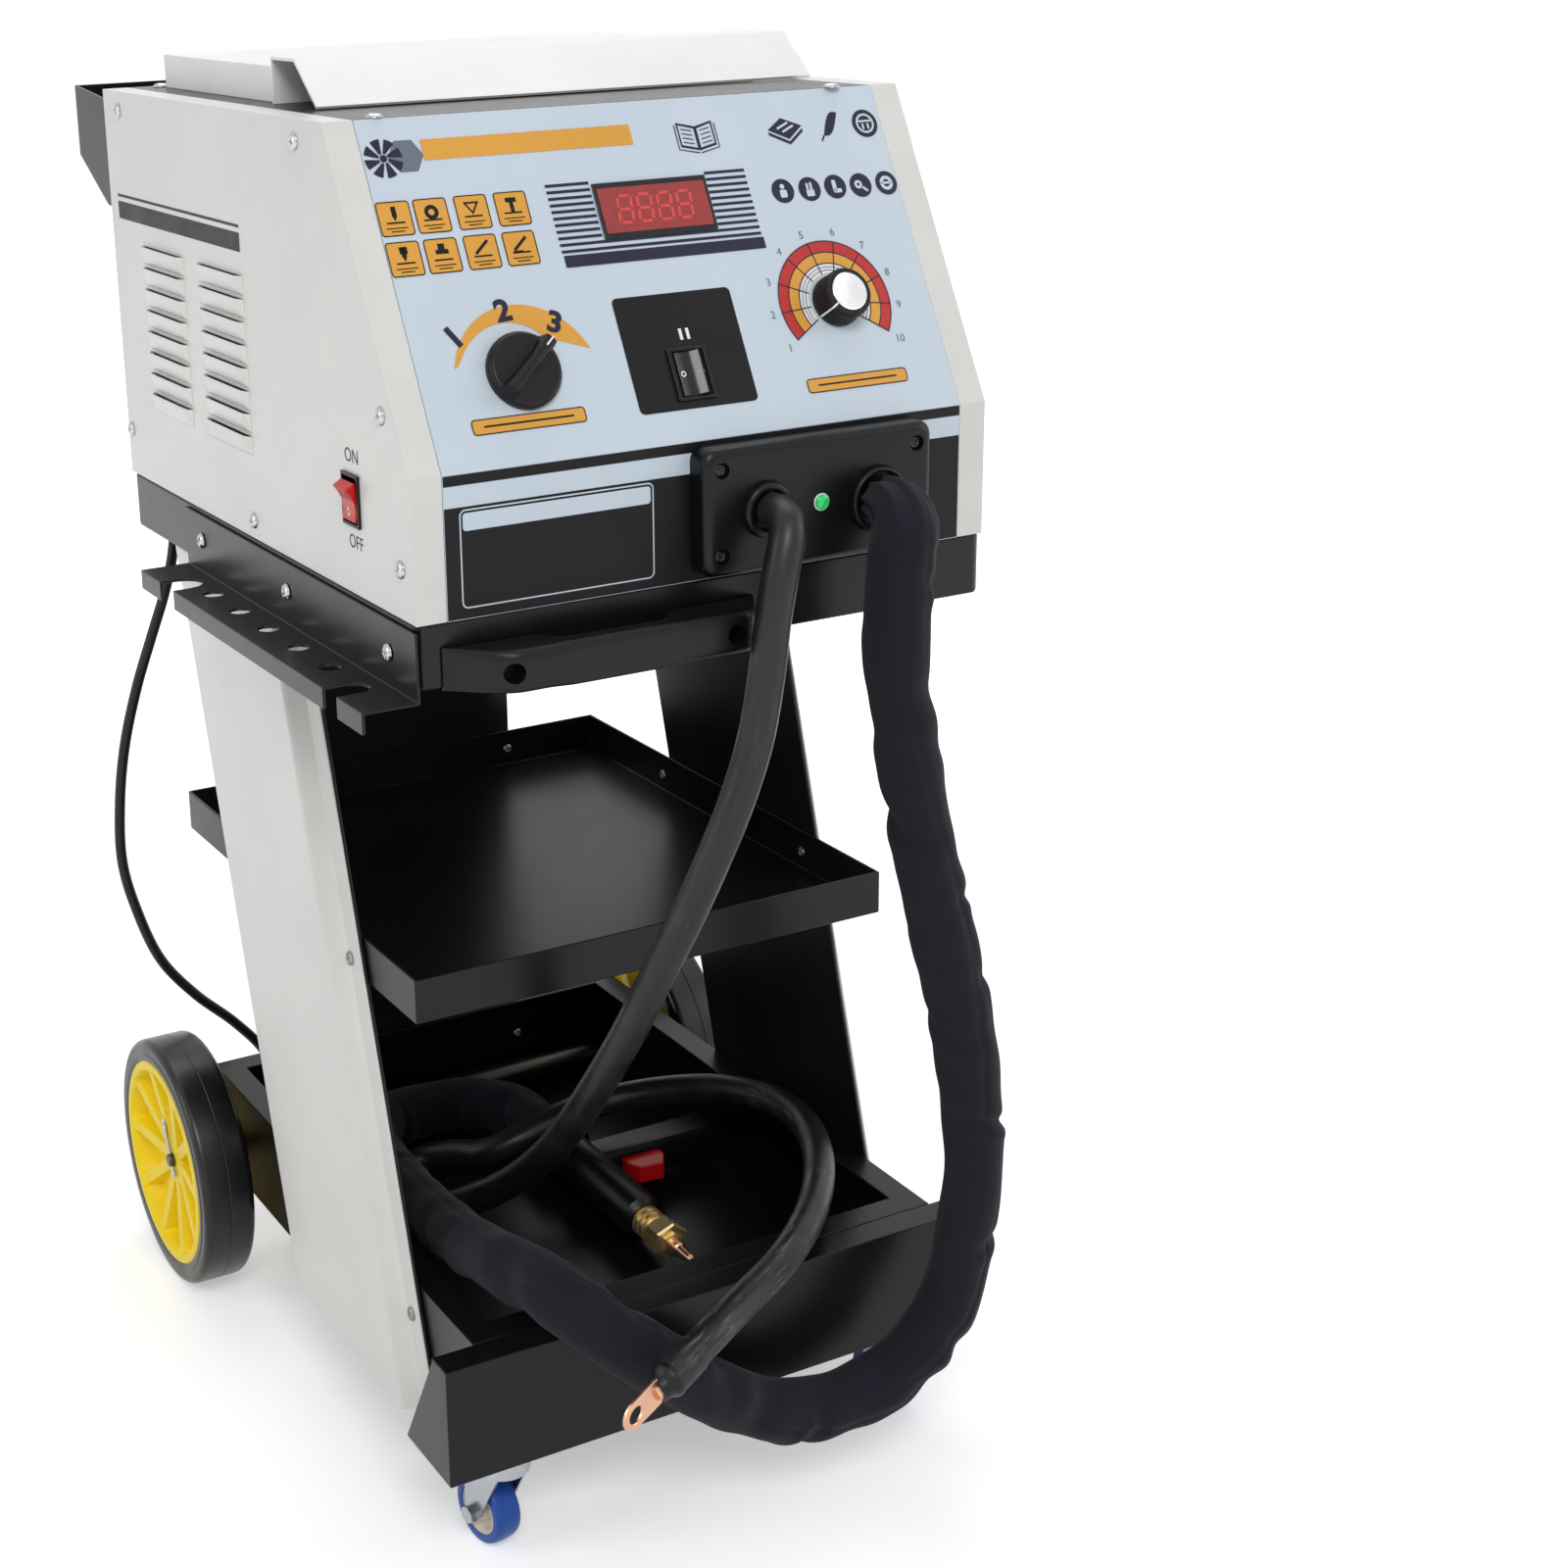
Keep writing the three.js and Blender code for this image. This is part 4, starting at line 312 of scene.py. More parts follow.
def gridFaces(rows, columns, wrap=True, capped=False):
    # four corner numbers for each cell of a grid of points, and a face over the first and last row
    row, column = np.meshgrid(np.arange(rows - 1), np.arange(columns if wrap else columns - 1), indexing="ij")
    after = (column + 1) % columns
    cells = np.stack([row * columns + column, row * columns + after, (row + 1) * columns + after,
                      (row + 1) * columns + column], -1).reshape(-1, 4).tolist()
    last = (rows - 1) * columns
    return cells + [list(range(columns))[::-1], list(range(last, last + columns))] if capped else cells


def linked(name, data):
    # a new object in the scene, at the origin
    piece = bpy.data.objects.new(name, data)
    bpy.context.scene.collection.objects.link(piece)
    return piece


def weld(mesh, distance, outwards=False):
    # merges doubled points, which closes seams and poles, and can turn all faces outwards
    work = bmesh.new()
    work.from_mesh(mesh)
    bmesh.ops.remove_doubles(work, verts=work.verts, dist=distance)
    if outwards:
        bmesh.ops.recalc_face_normals(work, faces=work.faces)
    work.to_mesh(mesh)
    work.free()


def shadeSmooth(mesh, sharp):
    mesh.polygons.foreach_set("use_smooth", np.full(len(mesh.polygons), True))
    mesh.set_sharp_from_angle(angle=math.radians(sharp))


def addPiece(name, parts, material, body="machine", replaced=(), sharp=35, facing=None, uv=None):
    # one object at the origin from one (points, faces) or a list of them, its faces outwards or towards facing,
    # riding on a body and standing for the replaced nodes
    points, faces = [], []
    for partPoints, partFaces in parts if isinstance(parts, list) else [parts]:
        start = sum(map(len, points))
        points.append(np.asarray(partPoints, float))
        faces += [[int(i) + start for i in face] for face in partFaces]
    points = np.vstack(points)
    mesh = bpy.data.meshes.new(name)
    mesh.from_pydata(points.tolist(), [], faces)
    if uv is not None:
        mesh.uv_layers.new(name="UVMap").data.foreach_set("uv", np.asarray(uv, float).ravel())
    normals, centres, areas = np.zeros(3 * len(faces)), np.zeros(3 * len(faces)), np.zeros(len(faces))
    for key, values in (("normal", normals), ("center", centres), ("area", areas)):
        mesh.polygons.foreach_get(key, values)
    outward = centres.reshape(-1, 3) - points.mean(0) if facing is None else np.asarray(facing, float)
    if (normals.reshape(-1, 3) * areas[:, None] * outward).sum() < 0:
        mesh.flip_normals()
    if uv is None:
        weld(mesh, 2e-8)
    mesh.materials.append(material)
    shadeSmooth(mesh, sharp)
    piece = linked(name, mesh)
    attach(piece, body)
    if replaced:
        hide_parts(*replaced)
    return piece


def smoothLine(points, perSpan):
    # centripetal Catmull-Rom curve through the points, as in the frame's own cords
    p = np.asarray(points, float)
    p = np.vstack([2 * p[0] - p[1], p, 2 * p[-1] - p[-2]])
    p0, p1, p2, p3 = p[:-3], p[1:-2], p[2:-1], p[3:]
    d0, d1, d2 = (np.sqrt(np.linalg.norm(b - a, axis=1, keepdims=True)) for a, b in ((p0, p1), (p1, p2), (p2, p3)))
    m1 = ((p1 - p0) / d0 - (p2 - p0) / (d0 + d1) + (p2 - p1) / d1) * d1
    m2 = ((p2 - p1) / d1 - (p3 - p1) / (d1 + d2) + (p3 - p2) / d2) * d1
    t = np.linspace(0, 1, perSpan, endpoint=False)[None, :, None]
    a, b, m, n = p1[:, None], p2[:, None], m1[:, None], m2[:, None]
    curve = a + m * t + (3 * b - 3 * a - 2 * m - n) * t ** 2 + (2 * a - 2 * b + m + n) * t ** 3
    return np.vstack([curve.reshape(-1, 3), points[-1:]])


def evenLine(line, step):
    # the same line with points a step apart, and how far along it each one lies
    lengths = np.r_[0, np.cumsum(np.linalg.norm(np.diff(line, axis=0), axis=1))]
    at = np.linspace(0, lengths[-1], max(2, int(round(lengths[-1] / step)) + 1))
    return np.stack([np.interp(at, lengths, line[:, k]) for k in range(3)], 1), at


def lineLength(line):
    return float(np.linalg.norm(np.diff(line, axis=0), axis=1).sum())


def carriedFrames(line):
    # two directions square to the line at each point, turned as little as possible from point to point
    along = np.gradient(line, axis=0)
    along /= np.linalg.norm(along, axis=1, keepdims=True)
    side = np.cross((0, 0, 1), along[0])
    side = side if np.linalg.norm(side) > 1e-3 else np.cross((1, 0, 0), along[0])
    sides = [side / np.linalg.norm(side)]
    for direction in along[1:]:
        side = sides[-1] - direction * (sides[-1] @ direction)
        sides.append(side / np.linalg.norm(side))
    return np.array(sides), np.cross(along, sides)


def tubeParts(line, radius, sideCount):
    # a closed tube; radius is one number, one per point, or an array (points, sides)
    across, over = carriedFrames(line)
    angle = roundAngles(sideCount)[None, :, None]
    radius = np.asarray(radius, float)
    size = np.broadcast_to(radius[:, None] if radius.ndim == 1 else radius, (len(line), sideCount))[..., None]
    points = line[:, None] + size * (across[:, None] * np.cos(angle) + over[:, None] * np.sin(angle))
    return points.reshape(-1, 3), gridFaces(len(line), sideCount, capped=True)


def tubeUv(at, sideCount, turnLength):
    # UV in metres on a tube: round it and along it, for each face corner, and nothing for its two ends
    row, column = np.meshgrid(np.arange(len(at) - 1), np.arange(sideCount), indexing="ij")
    u = np.stack([column, column + 1, column + 1, column], -1) / sideCount * turnLength
    v = np.stack([at[row], at[row], at[row + 1], at[row + 1]], -1)
    return np.vstack([np.stack([u, v], -1).reshape(-1, 2), np.zeros((2 * sideCount, 2))])


def tubeOutward(points, line, sideCount, cells):
    # for each face, the way out from the tube's middle
    outward = points - np.repeat(line, sideCount, axis=0)
    sides = outward[[cell[0] for cell in cells[:-2]]]
    return np.vstack([sides, line[0] - line[1], line[-1] - line[-2]])


def turnedParts(profile, centre, axis, sideCount=64, turn=0.0):
    # a turned form: profile points (radius, place along the axis), machine millimetres
    profile = np.asarray(profile, float)
    axis, side, over = squareTo(axis)
    angle = (roundAngles(sideCount) + turn)[:, None]
    ring = side * np.cos(angle) + over * np.sin(angle)
    points = np.asarray(centre, float) + profile[:, None, :1] * ring[None] + profile[:, None, 1:] * axis
    return place(points.reshape(-1, 3)), gridFaces(len(profile), sideCount)


def softened(name, node, width, material, body="machine", steps=2):
    # a finer copy of a sheet or moulded node: doubled corners merged, flat faces joined, edges rounded
    work = bmesh.new()
    work.from_mesh(nodes[node].data)
    work.transform(nodes[node].matrix_world)
    bmesh.ops.remove_doubles(work, verts=work.verts, dist=1e-6)
    bmesh.ops.dissolve_limit(work, angle_limit=math.radians(1), verts=work.verts, edges=work.edges)
    mesh = bpy.data.meshes.new(name)
    work.to_mesh(mesh)
    work.free()
    mesh.materials.clear()
    mesh.materials.append(material)
    mesh.polygons.foreach_set("use_smooth", np.full(len(mesh.polygons), True))
    piece = linked(name, mesh)
    bevel = piece.modifiers.new("roundEdges", "BEVEL")
    bevel.width, bevel.segments, bevel.harden_normals = width * mm, steps, True
    bevel.limit_method, bevel.angle_limit = "ANGLE", math.radians(28)
    even = piece.modifiers.new("evenShade", "WEIGHTED_NORMAL")
    even.weight, even.keep_sharp = 100, True
    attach(piece, body)
    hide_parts(node)


def sink(piece, centre, radius, depth, sharp):
    # cuts a flat-bottomed round recess into a piece's front
    above = 4.0
    profile = [(0, -depth), (radius, -depth), (radius, above), (0, above)]
    points, cells = turnedParts(profile, centre, front, 32)
    mesh = bpy.data.meshes.new("cutter")
    mesh.from_pydata(points.tolist(), [], cells)
    weld(mesh, 1e-7, outwards=True)
    cutter = linked("cutter", mesh)
    boolean = piece.modifiers.new("cut", "BOOLEAN")
    boolean.operation, boolean.solver, boolean.object = "DIFFERENCE", "EXACT", cutter
    graph = bpy.context.evaluated_depsgraph_get()
    graph.update()
    result = bpy.data.meshes.new_from_object(piece.evaluated_get(graph))
    piece.modifiers.clear()
    piece.data = result
    shadeSmooth(result, sharp)
    bpy.data.objects.remove(cutter)
    bpy.data.meshes.remove(mesh)


# Flat faces of the machine: an origin in machine millimetres and the directions across and up

slopeTop = np.array([0.0, -49.15, 942.8])
slopeAngle = math.atan2(195.6, 104.65)
hoodHalf = 205.0
planes = {
    "slope": (slopeTop, (1, 0, 0), (0, math.cos(slopeAngle), math.sin(slopeAngle))),
    "front": ((0, panFront, 0), (1, 0, 0), (0, 0, 1)),
    "left": ((-hoodHalf, 0, 0), (0, -1, 0), (0, 0, 1)),
}


def outOf(face):
    return np.cross(planes[face][1], planes[face][2]).astype(float)


def onFace(face, flat, lift=0.0):
    # points (across, up) on a face, lifted off it, in machine millimetres
    origin, across, up = (np.asarray(v, float) for v in planes[face])
    flat = np.atleast_2d(np.asarray(flat, float))
    return origin + flat[:, :1] * across + flat[:, 1:2] * up + np.reshape(lift, (-1, 1)) * np.cross(across, up)


# Cords, in the machine's millimetres, along the routes that the part's source holds

cords = {
    "mainsLead": {"diameter": 8.5, "sides": 20, "step": 3.0, "perSpan": 14, "replaced": ("mains_cable", "mains_coil"),
                  "material": cordRubber, "farEnd": "plug", "stiffness": "medium",
                  "onCord": ["leadPlug", "leadGland", "mainsStrainRelief"]},
    "groundLead": {"diameter": 23.0, "sides": 40, "step": 3.0, "perSpan": 14, "replaced": ("ground_cable",),
                   "material": cableJacket, "farEnd": "fitting", "stiffness": "stiff",
                   "onCord": ["lugEye", "lugSleeve", "ringGround"]},
    "gunSleeve": {"diameter": 44.0, "sides": 72, "step": 2.6, "perSpan": 18, "replaced": ("gun_sleeve",),
                  "material": sleeveFabric, "farEnd": "object", "stiffness": "medium", "onCord": ["ringGun"]},
}
leadCoil = {"x": 20, "y": 445, "outerRadius": 80, "loops": 3, "pitch": 9.4, "layer": 9.3, "low": 4.6,
            "perLoop": 48, "lead": 8.5, "tail": 62}
relief = {"length": 34, "start": 8.6, "overLead": 0.9, "ribs": 7, "ribDepth": 0.5, "plainFrom": 0.93, "sides": 32}
folds = {"depth": 4.6, "spacing": 66, "mouthLength": 42, "mouthDraw": 6.0, "creases": 6}
cableCollar = {"length": 26, "extra": 1.1}

routes = {
    "mainsLead": [[-150, 372.5, 690], [-150, 384, 690], [-150, 398.6, 686.9], [-150, 410.8, 678.1],
        [-150, 418.2, 665.1], [-151, 420, 650], [-153, 417, 626], [-158, 409, 602], [-165, 400, 578],
        [-176, 392, 552], [-191, 388.5, 518], [-206, 388, 480], [-220, 388, 433], [-228, 388, 385], [-230, 388, 335],
        [-221, 388, 290], [-204, 388, 243], [-177, 388, 206], [-144, 388, 172], [-120, 387, 140], [-104, 385, 95],
        [-92, 381, 50], [-76, 374, 18], [-52, 367, 6], [-28, 365, 4.6], [-8, 365, 4.6], [11.2, 365, 4.6]],
    "groundLead": [[26, -178.4, 703], [26, -188, 703], [23, -200, 696], [15, -206, 675], [9, -206, 645],
        [6, -203, 607], [0, -199, 564], [-12, -194, 522], [-26, -186, 481], [-39, -174, 440], [-51, -159, 400],
        [-59, -141, 361], [-65, -119, 324], [-68, -93, 288], [-67, -64, 255], [-66, -33, 224], [-67, 0, 194],
        [-72, 34, 166], [-83, 67, 142], [-99, 98, 123], [-112, 128, 110], [-117, 158, 103], [-108, 186, 101],
        [-86, 202, 103], [-60, 200, 108], [-40, 184, 115], [-27, 161, 122], [-6, 149, 132], [22, 146, 141],
        [54, 144, 148], [94, 129, 156], [125, 100, 166], [147, 63, 175], [157, 21, 181], [153, -23, 185],
        [138, -64, 186], [115, -102, 186], [87, -136, 186], [55, -166, 186], [20, -192, 186], [-18, -214, 186],
        [-57, -234, 182], [-95, -246, 169]],
    "gunSleeve": [[108, -178.4, 699], [108, -190, 699], [106, -203, 690], [101, -210, 671], [97, -212, 640],
        [97, -212, 597], [105, -211, 554], [113, -210, 510], [123, -211, 466], [133, -211, 423], [144, -212, 380],
        [154, -213, 336], [162, -213, 293], [166, -213, 248], [165, -213, 204], [157, -213, 160], [139, -212, 119],
        [109, -209, 90], [68, -205, 76], [24, -202, 81], [-15, -201, 100], [-49, -202, 128], [-82, -202, 157],
        [-111, -190, 182], [-130, -157, 195], [-137, -113, 193], [-139, -69, 185], [-138, -26, 175],
        [-136, 18, 168], [-133, 62, 163], [-128, 106, 158], [-120, 150, 151], [-108, 194, 140], [-88, 236, 127],
        [-56, 266, 114], [-17, 276, 108], [20, 262, 107.7], [40, 234, 107.7], [45, 204, 107.7], [45, 175.3, 107.7]],
}


def coilLine():
    # spirals in on the lower layer, climbs as it turns, and spirals out on top
    c = leadCoil
    turns = np.linspace(0, 2 * c["loops"], 2 * c["loops"] * c["perLoop"] + 1)
    radius = c["outerRadius"] - np.minimum(turns, 2 * c["loops"] - turns) * c["pitch"]
    climb = np.clip((turns - c["loops"]) / 0.5 + 0.5, 0, 1)
    angle = 2 * math.pi * turns - math.pi / 2
    ring = np.stack([c["x"] + radius * np.cos(angle), c["y"] + radius * np.sin(angle),
                     c["low"] + climb * c["layer"]], 1)
    end = [[c["x"] + x, c["y"] - c["outerRadius"], c["low"] + c["layer"]] for x in (c["lead"], c["tail"])]
    return np.vstack([ring, end])


def foldedRadius(at, values):
    # the sleeve's radius: slow swells, one-sided slanting pinches, long creases, and a gathered mouth
    c = folds
    s = (at / mm)[:, None]
    angle = roundAngles(values["sides"])[None]
    rng = np.random.default_rng(11)
    wander = 1.1 * np.sin(s / 83) + s / 170
    radius = values["diameter"] / 2 - 1.0 + 1.1 * np.sin(s / 37 + 1.7 * np.sin(s / 90)) * np.cos(angle - wander)
    radius = radius + 1.0 * np.cos(2 * (angle - wander * 0.7)) + 0.45 * np.sin(s / 9.5 + 2 * angle + 2 * np.sin(s / 61))
    spot = 48.0
    while spot < at[-1] / mm - 25:
        depth, lean, width, turned = (rng.uniform(*span) for span in (
            (0.5, 1.0), (-20, 20), (5, 15), (0, 2 * math.pi)))
        across = (s - spot - lean * np.sin(angle - turned)) / width
        oneSide = (0.5 + 0.5 * np.cos(angle - turned)) ** 1.4
        pinch = 1.5 * np.exp(-((across - 1.7) / 0.9) ** 2) - c["depth"] * np.exp(-across ** 2)
        radius = radius + depth * pinch * oneSide
        spot += c["spacing"] * rng.uniform(0.3, 1.3)
    for k in range(c["creases"]):
        middle = rng.uniform(0, 6.28) + 0.9 * np.sin(s / rng.uniform(110, 260) + rng.uniform(0, 6.28))
        gap = np.abs((angle - middle + math.pi) % (2 * math.pi) - math.pi)
        radius = radius - 1.1 * np.exp(-(gap / 0.13) ** 2) * (0.5 + 0.5 * np.sin(s / 70 + k * 2.0))
    mouth = np.clip(1 - s / c["mouthLength"], 0, 1)
    pleats = 0.9 * np.cos(9 * angle + 1.5 * np.sin(2 * angle)) + 0.5 * np.cos(17 * angle)
    return radius - c["mouthDraw"] * mouth ** 1.6 + np.minimum(mouth * 2, 1) * pleats


def collaredRadius(at, values):
    # the ground cable's radius, a little larger at the end, under its shrunk sleeve
    fromEnd = (at[-1] - at) / mm
    return values["diameter"] / 2 + cableCollar["extra"] * np.clip((cableCollar["length"] - fromEnd) / 1.5, 0, 1)


def makeCord(key, c):
    line = smoothLine(routes[key], c["perSpan"])
    if key == "mainsLead":
        line = np.vstack([line, coilLine()])
    line, at = evenLine(place(line), c["step"] * mm)
    shaped = {"gunSleeve": foldedRadius, "groundLead": collaredRadius}.get(key)
    radius = shaped(at, c) if shaped else np.full(len(at), c["diameter"] / 2)
    tube = tubeParts(line, radius * mm, c["sides"])
    c["piece"] = addPiece(key, tube, c["material"], replaced=c["replaced"], sharp=60,
                          facing=tubeOutward(tube[0], line, c["sides"], tube[1]),
                          uv=tubeUv(at, c["sides"], math.pi * c["diameter"] * mm))
    c["line"], c["at"] = line, at
    print(key, "length", round(lineLength(line), 4))


def makeRelief():
    # a tapered rubber sleeve on the mains lead's first stretch, ringed with ribs
    c, lead = relief, cords["mainsLead"]
    count = int(np.searchsorted(lead["at"], c["length"] * mm)) + 1
    line, along = evenLine(lead["line"][:count], 0.5 * mm)
    share = along / along[-1]
    ribs = c["ribDepth"] * np.clip(np.sin(share * 2 * math.pi * c["ribs"]) * 3, -1, 1)
    end = lead["diameter"] / 2 + c["overLead"]
    radius = c["start"] + (end - c["start"]) * share + ribs * (share < c["plainFrom"])
    tube = tubeParts(line, radius * mm, c["sides"])
    addPiece("mainsStrainRelief", tube, rubber, sharp=50, facing=tubeOutward(tube[0], line, c["sides"], tube[1]))


for key, values in cords.items():
    makeCord(key, values)
makeRelief()

print("cords laid")


# Folded sheet and moulded cases: finer copies of the nodes with rounded edges, by their width in mm

for material, pieces in (
        (whitePaint, (("hoodLeft", "left_side_panel", 0.8), ("hoodRight", "right_side_panel", 0.8),
                      ("hoodRear", "rear_panel", 0.7), ("uprightCoverLeft", "left_upright_cover", 1.6),
                      ("uprightCoverRight", "right_upright_cover", 1.6))),
        (lidPaint, (("hoodLid", "top_cover", 1.6),)),
        (panelFilm, (("hoodFront", "front_panel", 0.6),)),
        (blackPaint, (("hoodTop", "top_plate", 0.6), ("cableTrough", "rear_trough", 0.7), ("basePan", "pan", 1.4),
                      ("holderRack", "tool_rack", 0.7), ("lowerBox", "base_box", 0.8),
                      ("boxBumper", "front_bumper", 1.2), ("shelfTray", "middle_tray", 0.9))),
        (greyPaint, (("rearPanel", "back_panel", 0.7), ("uprightPlateLeft", "left_upright_plate", 0.7),
                     ("uprightPlateRight", "right_upright_plate", 0.7))),
        (glossPlastic, (("displayFrame", "display_window", 0.7),)),
        (blackPlastic, (("mainBezel", "main_switch_body", 0.5), ("modeBezel", "mode_switch_body", 0.5),
                        ("gunShell", "gun_body", 2.2), ("leadGland", "mains_gland", 0.8),
                        ("fanFrame", "fan_frame", 0.8))),
        (cordRubber, (("leadPlug", "mains_plug", 1.6),))):
    for name, node, width in pieces:
        softened(name, node, width, material)
softened("mainRockerCap", "main_rocker", 0.7, redPlastic, "main_rocker", steps=3)
softened("modeRockerCap", "mode_rocker", 0.7, glossPlastic, "mode_rocker", steps=3)
softened("triggerCap", "gun_trigger", 1.4, redPlastic, "gun_trigger", steps=3)

for material, names in (
        (zincPlate, ("left_caster_plate", "right_caster_plate", "left_caster_fork", "right_caster_fork")),
        (castZinc, ("time_potentiometer",)), (aluminium, ("heat_sink",)), (laminations, ("transformer_core",)),
        (woundWire, ("primary_winding",)), (copperMetal, ("ground_busbar", "gun_busbar")),
        (solderMask, ("control_board",)), (glossPlastic, ("current_selector_body",)), (blackPlastic, ("fan_rotor",))):
    for name in names:
        nodes[name].data.materials.clear()
        nodes[name].data.materials.append(material)

print("sheet metal and cases softened")


# The ground cable's lug, past the route's end, and the sleeve shrunk over it and the cable

lugEye = {"half": 11.0, "base": 9.5, "tip": 44.0, "eye": 6.2, "thick": 2.4, "edge": 0.5, "sides": 120,
          "facing": (0.42, -0.875, -0.05),
          "barrel": ((0, 0), (5.4, 0), (5.8, 0.5), (5.8, 13.4), (5.2, 14.2), (0, 14.2)),
          "sleeve": ((0, -3), (12.2, -3), (12.9, -2.2), (12.9, 0.6), (12.2, 2.4), (9.9, 5.2), (8.9, 7.4), (8.6, 10.4),
                     (8.1, 11.0), (0, 11.0))}
cableEnd = np.array(routes["groundLead"][-1], float)
cableWay = cableEnd - routes["groundLead"][-2]


def lugParts():
    # rings round the eye: its own circle, the outline (straight sides, round tip) and back on the other face
    c = lugEye
    along = cableWay / np.linalg.norm(cableWay)
    out = np.array(c["facing"]) - along * np.dot(c["facing"], along)
    out /= np.linalg.norm(out)
    across = np.cross(out, along)
    middle = c["tip"] - c["half"]
    cosine, sine = np.cos(roundAngles(c["sides"])), np.sin(roundAngles(c["sides"]))
    straight = np.minimum(c["half"] / np.maximum(np.abs(sine), 1e-6),
                          (middle - c["base"]) / np.maximum(-cosine, 1e-6))
    outline = np.where(cosine >= 0, c["half"], straight)
    half, edge, eye = c["thick"] / 2, c["edge"], c["eye"] + 0 * outline
    rings = [(eye, half - edge), (eye + edge, half), (outline - edge, half), (outline, half - edge),
             (outline, edge - half), (outline - edge, -half), (eye + edge, -half), (eye, edge - half)]
    points = [cableEnd + (middle + r * cosine)[:, None] * along + (r * sine)[:, None] * across + h * out
              for r, h in rings + rings[:1]]
    plate = place(np.vstack(points)), gridFaces(len(points), c["sides"])
    return [plate, turnedParts(c["barrel"], cableEnd, along, 40)]


addPiece("lugEye", lugParts(), copperMetal, replaced=["ground_lug"])
addPiece("lugSleeve", turnedParts(lugEye["sleeve"], cableEnd, cableWay, 48), cordRubber, sharp=60)


# Rear wheels. The tyre: a flat tread with a parting line and rounded shoulders. The hub: ten spokes between deep
# pockets, worked out as the depth of each face over a polar grid.

tyre = {"radius": 100, "half": 21.5, "seat": 83.3, "shoulder": 6, "sides": 160, "partingLine": 0.45}
hub = {"rim": 83.2, "seat": 76.5, "boss": 15.0, "bore": 5.7, "spokes": 10, "spokeHalf": 3.0, "widen": 0.03,
       "pocket": 15.5, "wallEase": 2.6, "bossEase": 7, "rimEase": 4, "crown": 3.0, "face": 21.5, "lip": 1.2,
       "lipWidth": 1.5, "dish": 6.6, "dishFlat": 22.0, "dishEnd": 78.0, "rings": 64, "sides": 360}


def tyreParts(centre):
    # the section is walked once round: seat, side wall with a step, shoulder, tread and back
    t = tyre
    r, w, k = t["radius"], t["half"], t["shoulder"]
    half = [(t["seat"], w - 0.8), (t["seat"] + 2.4, w), (t["seat"] + 6, w), (t["seat"] + 6.6, w - 0.5)]
    half += [(r - k + k * math.sin(a), w - 0.5 - k + k * math.cos(a)) for a in np.radians(np.linspace(0, 90, 9))]
    half += [(r, 2.0), (r, 0.9), (r - t["partingLine"], 0.35), (r - t["partingLine"], 0.0)]
    section = half + [(x, -y) for x, y in half[-2::-1]] + [half[0]]
    return turnedParts(section, (centre[0], centre[1], r), (1, 0, 0), t["sides"])


def hubParts(centre):
    # each face less a pocket between each two spokes, rounded at the boss and the rim; the bore closes the form
    h = hub
    reach, angle = np.linspace(h["bore"], h["rim"], h["rings"])[:, None], roundAngles(h["sides"])[None]
    step = 2 * math.pi / h["spokes"]
    off = (angle + step / 2) % step - step / 2
    across = np.abs(reach * np.sin(off)) - h["spokeHalf"] - h["widen"] * (reach - h["boss"])
    inside = (across / h["wallEase"], (reach - h["boss"]) / h["bossEase"], (h["seat"] - reach) / h["rimEase"])
    depth = h["pocket"] * math.prod(eased(share) for share in inside)
    dish = np.clip((h["dishEnd"] - reach) / (h["dishEnd"] - h["dishFlat"]), 0, 1)
    crown = h["crown"] * np.clip(inside[2], 0, 1) + h["dish"] * dish
    lip = h["lip"] * np.clip((reach - h["rim"]) / h["lipWidth"] + 1, 0, 1)
    out = h["face"] - np.maximum(depth, crown) - lip
    front, back = (np.stack([centre[0] + side * out, centre[1] + reach * np.cos(angle),
                             centre[2] + reach * np.sin(angle)], -1) for side in (-1, 1))
    rings = np.vstack([front, back[::-1], front[:1]])
    return place(rings.reshape(-1, 3)), gridFaces(len(rings), h["sides"])


for name in ("left", "right"):
    centre = sum(machineBox(name + "_tyre")) / 2
    addPiece("tyre" + name.title(), tyreParts(centre), rubber, name + "_wheel", [name + "_tyre"], sharp=30)
    centre = sum(machineBox(name + "_wheel_hub")) / 2
    addPiece("hub" + name.title(), hubParts(centre), yellowPlastic, name + "_wheel", [name + "_wheel_hub"], sharp=40)


# Rear axle: thin where the wheels run, with a long bent-over split pin through each end

rearAxle = {"end": 234.4, "shank": 5.3, "middle": 10.0, "collar": 15.0, "collarWidth": 8.0, "play": 1.0, "bevel": 1.1}
splitPin = {"at": 231.6, "radius": 1.15, "up": 34.0, "down": 14.0, "lean": 22.0, "loop": 2.6, "loopLength": 9,
            "spreadFrom": 6, "spreadLength": 8}


def pinParts(side, centre):
    # two half wires side by side, meeting in a loop at the top and spread a little at the foot
    c = splitPin
    up = np.linspace(-c["down"], c["up"], 26)
    gap = 0.62 + 1.1 * np.clip((-up - c["spreadFrom"]) / c["spreadLength"], 0, 1)
    gap = gap + 0.8 * c["loop"] * np.sin(np.clip((up - c["up"]) / c["loopLength"] + 1, 0, 1) * math.pi)
    lean = math.radians(c["lean"])
    parts = []
    for hand in (-1, 1):
        line = np.stack([np.full(len(up), side * c["at"]),
                         centre[1] + up * math.sin(lean) + hand * gap * math.cos(lean),
                         centre[2] + up * math.cos(lean) - hand * gap * math.sin(lean)], -1)
        points, cells = tubeParts(line, c["radius"], 10)
        parts.append((place(points), cells))
    return parts


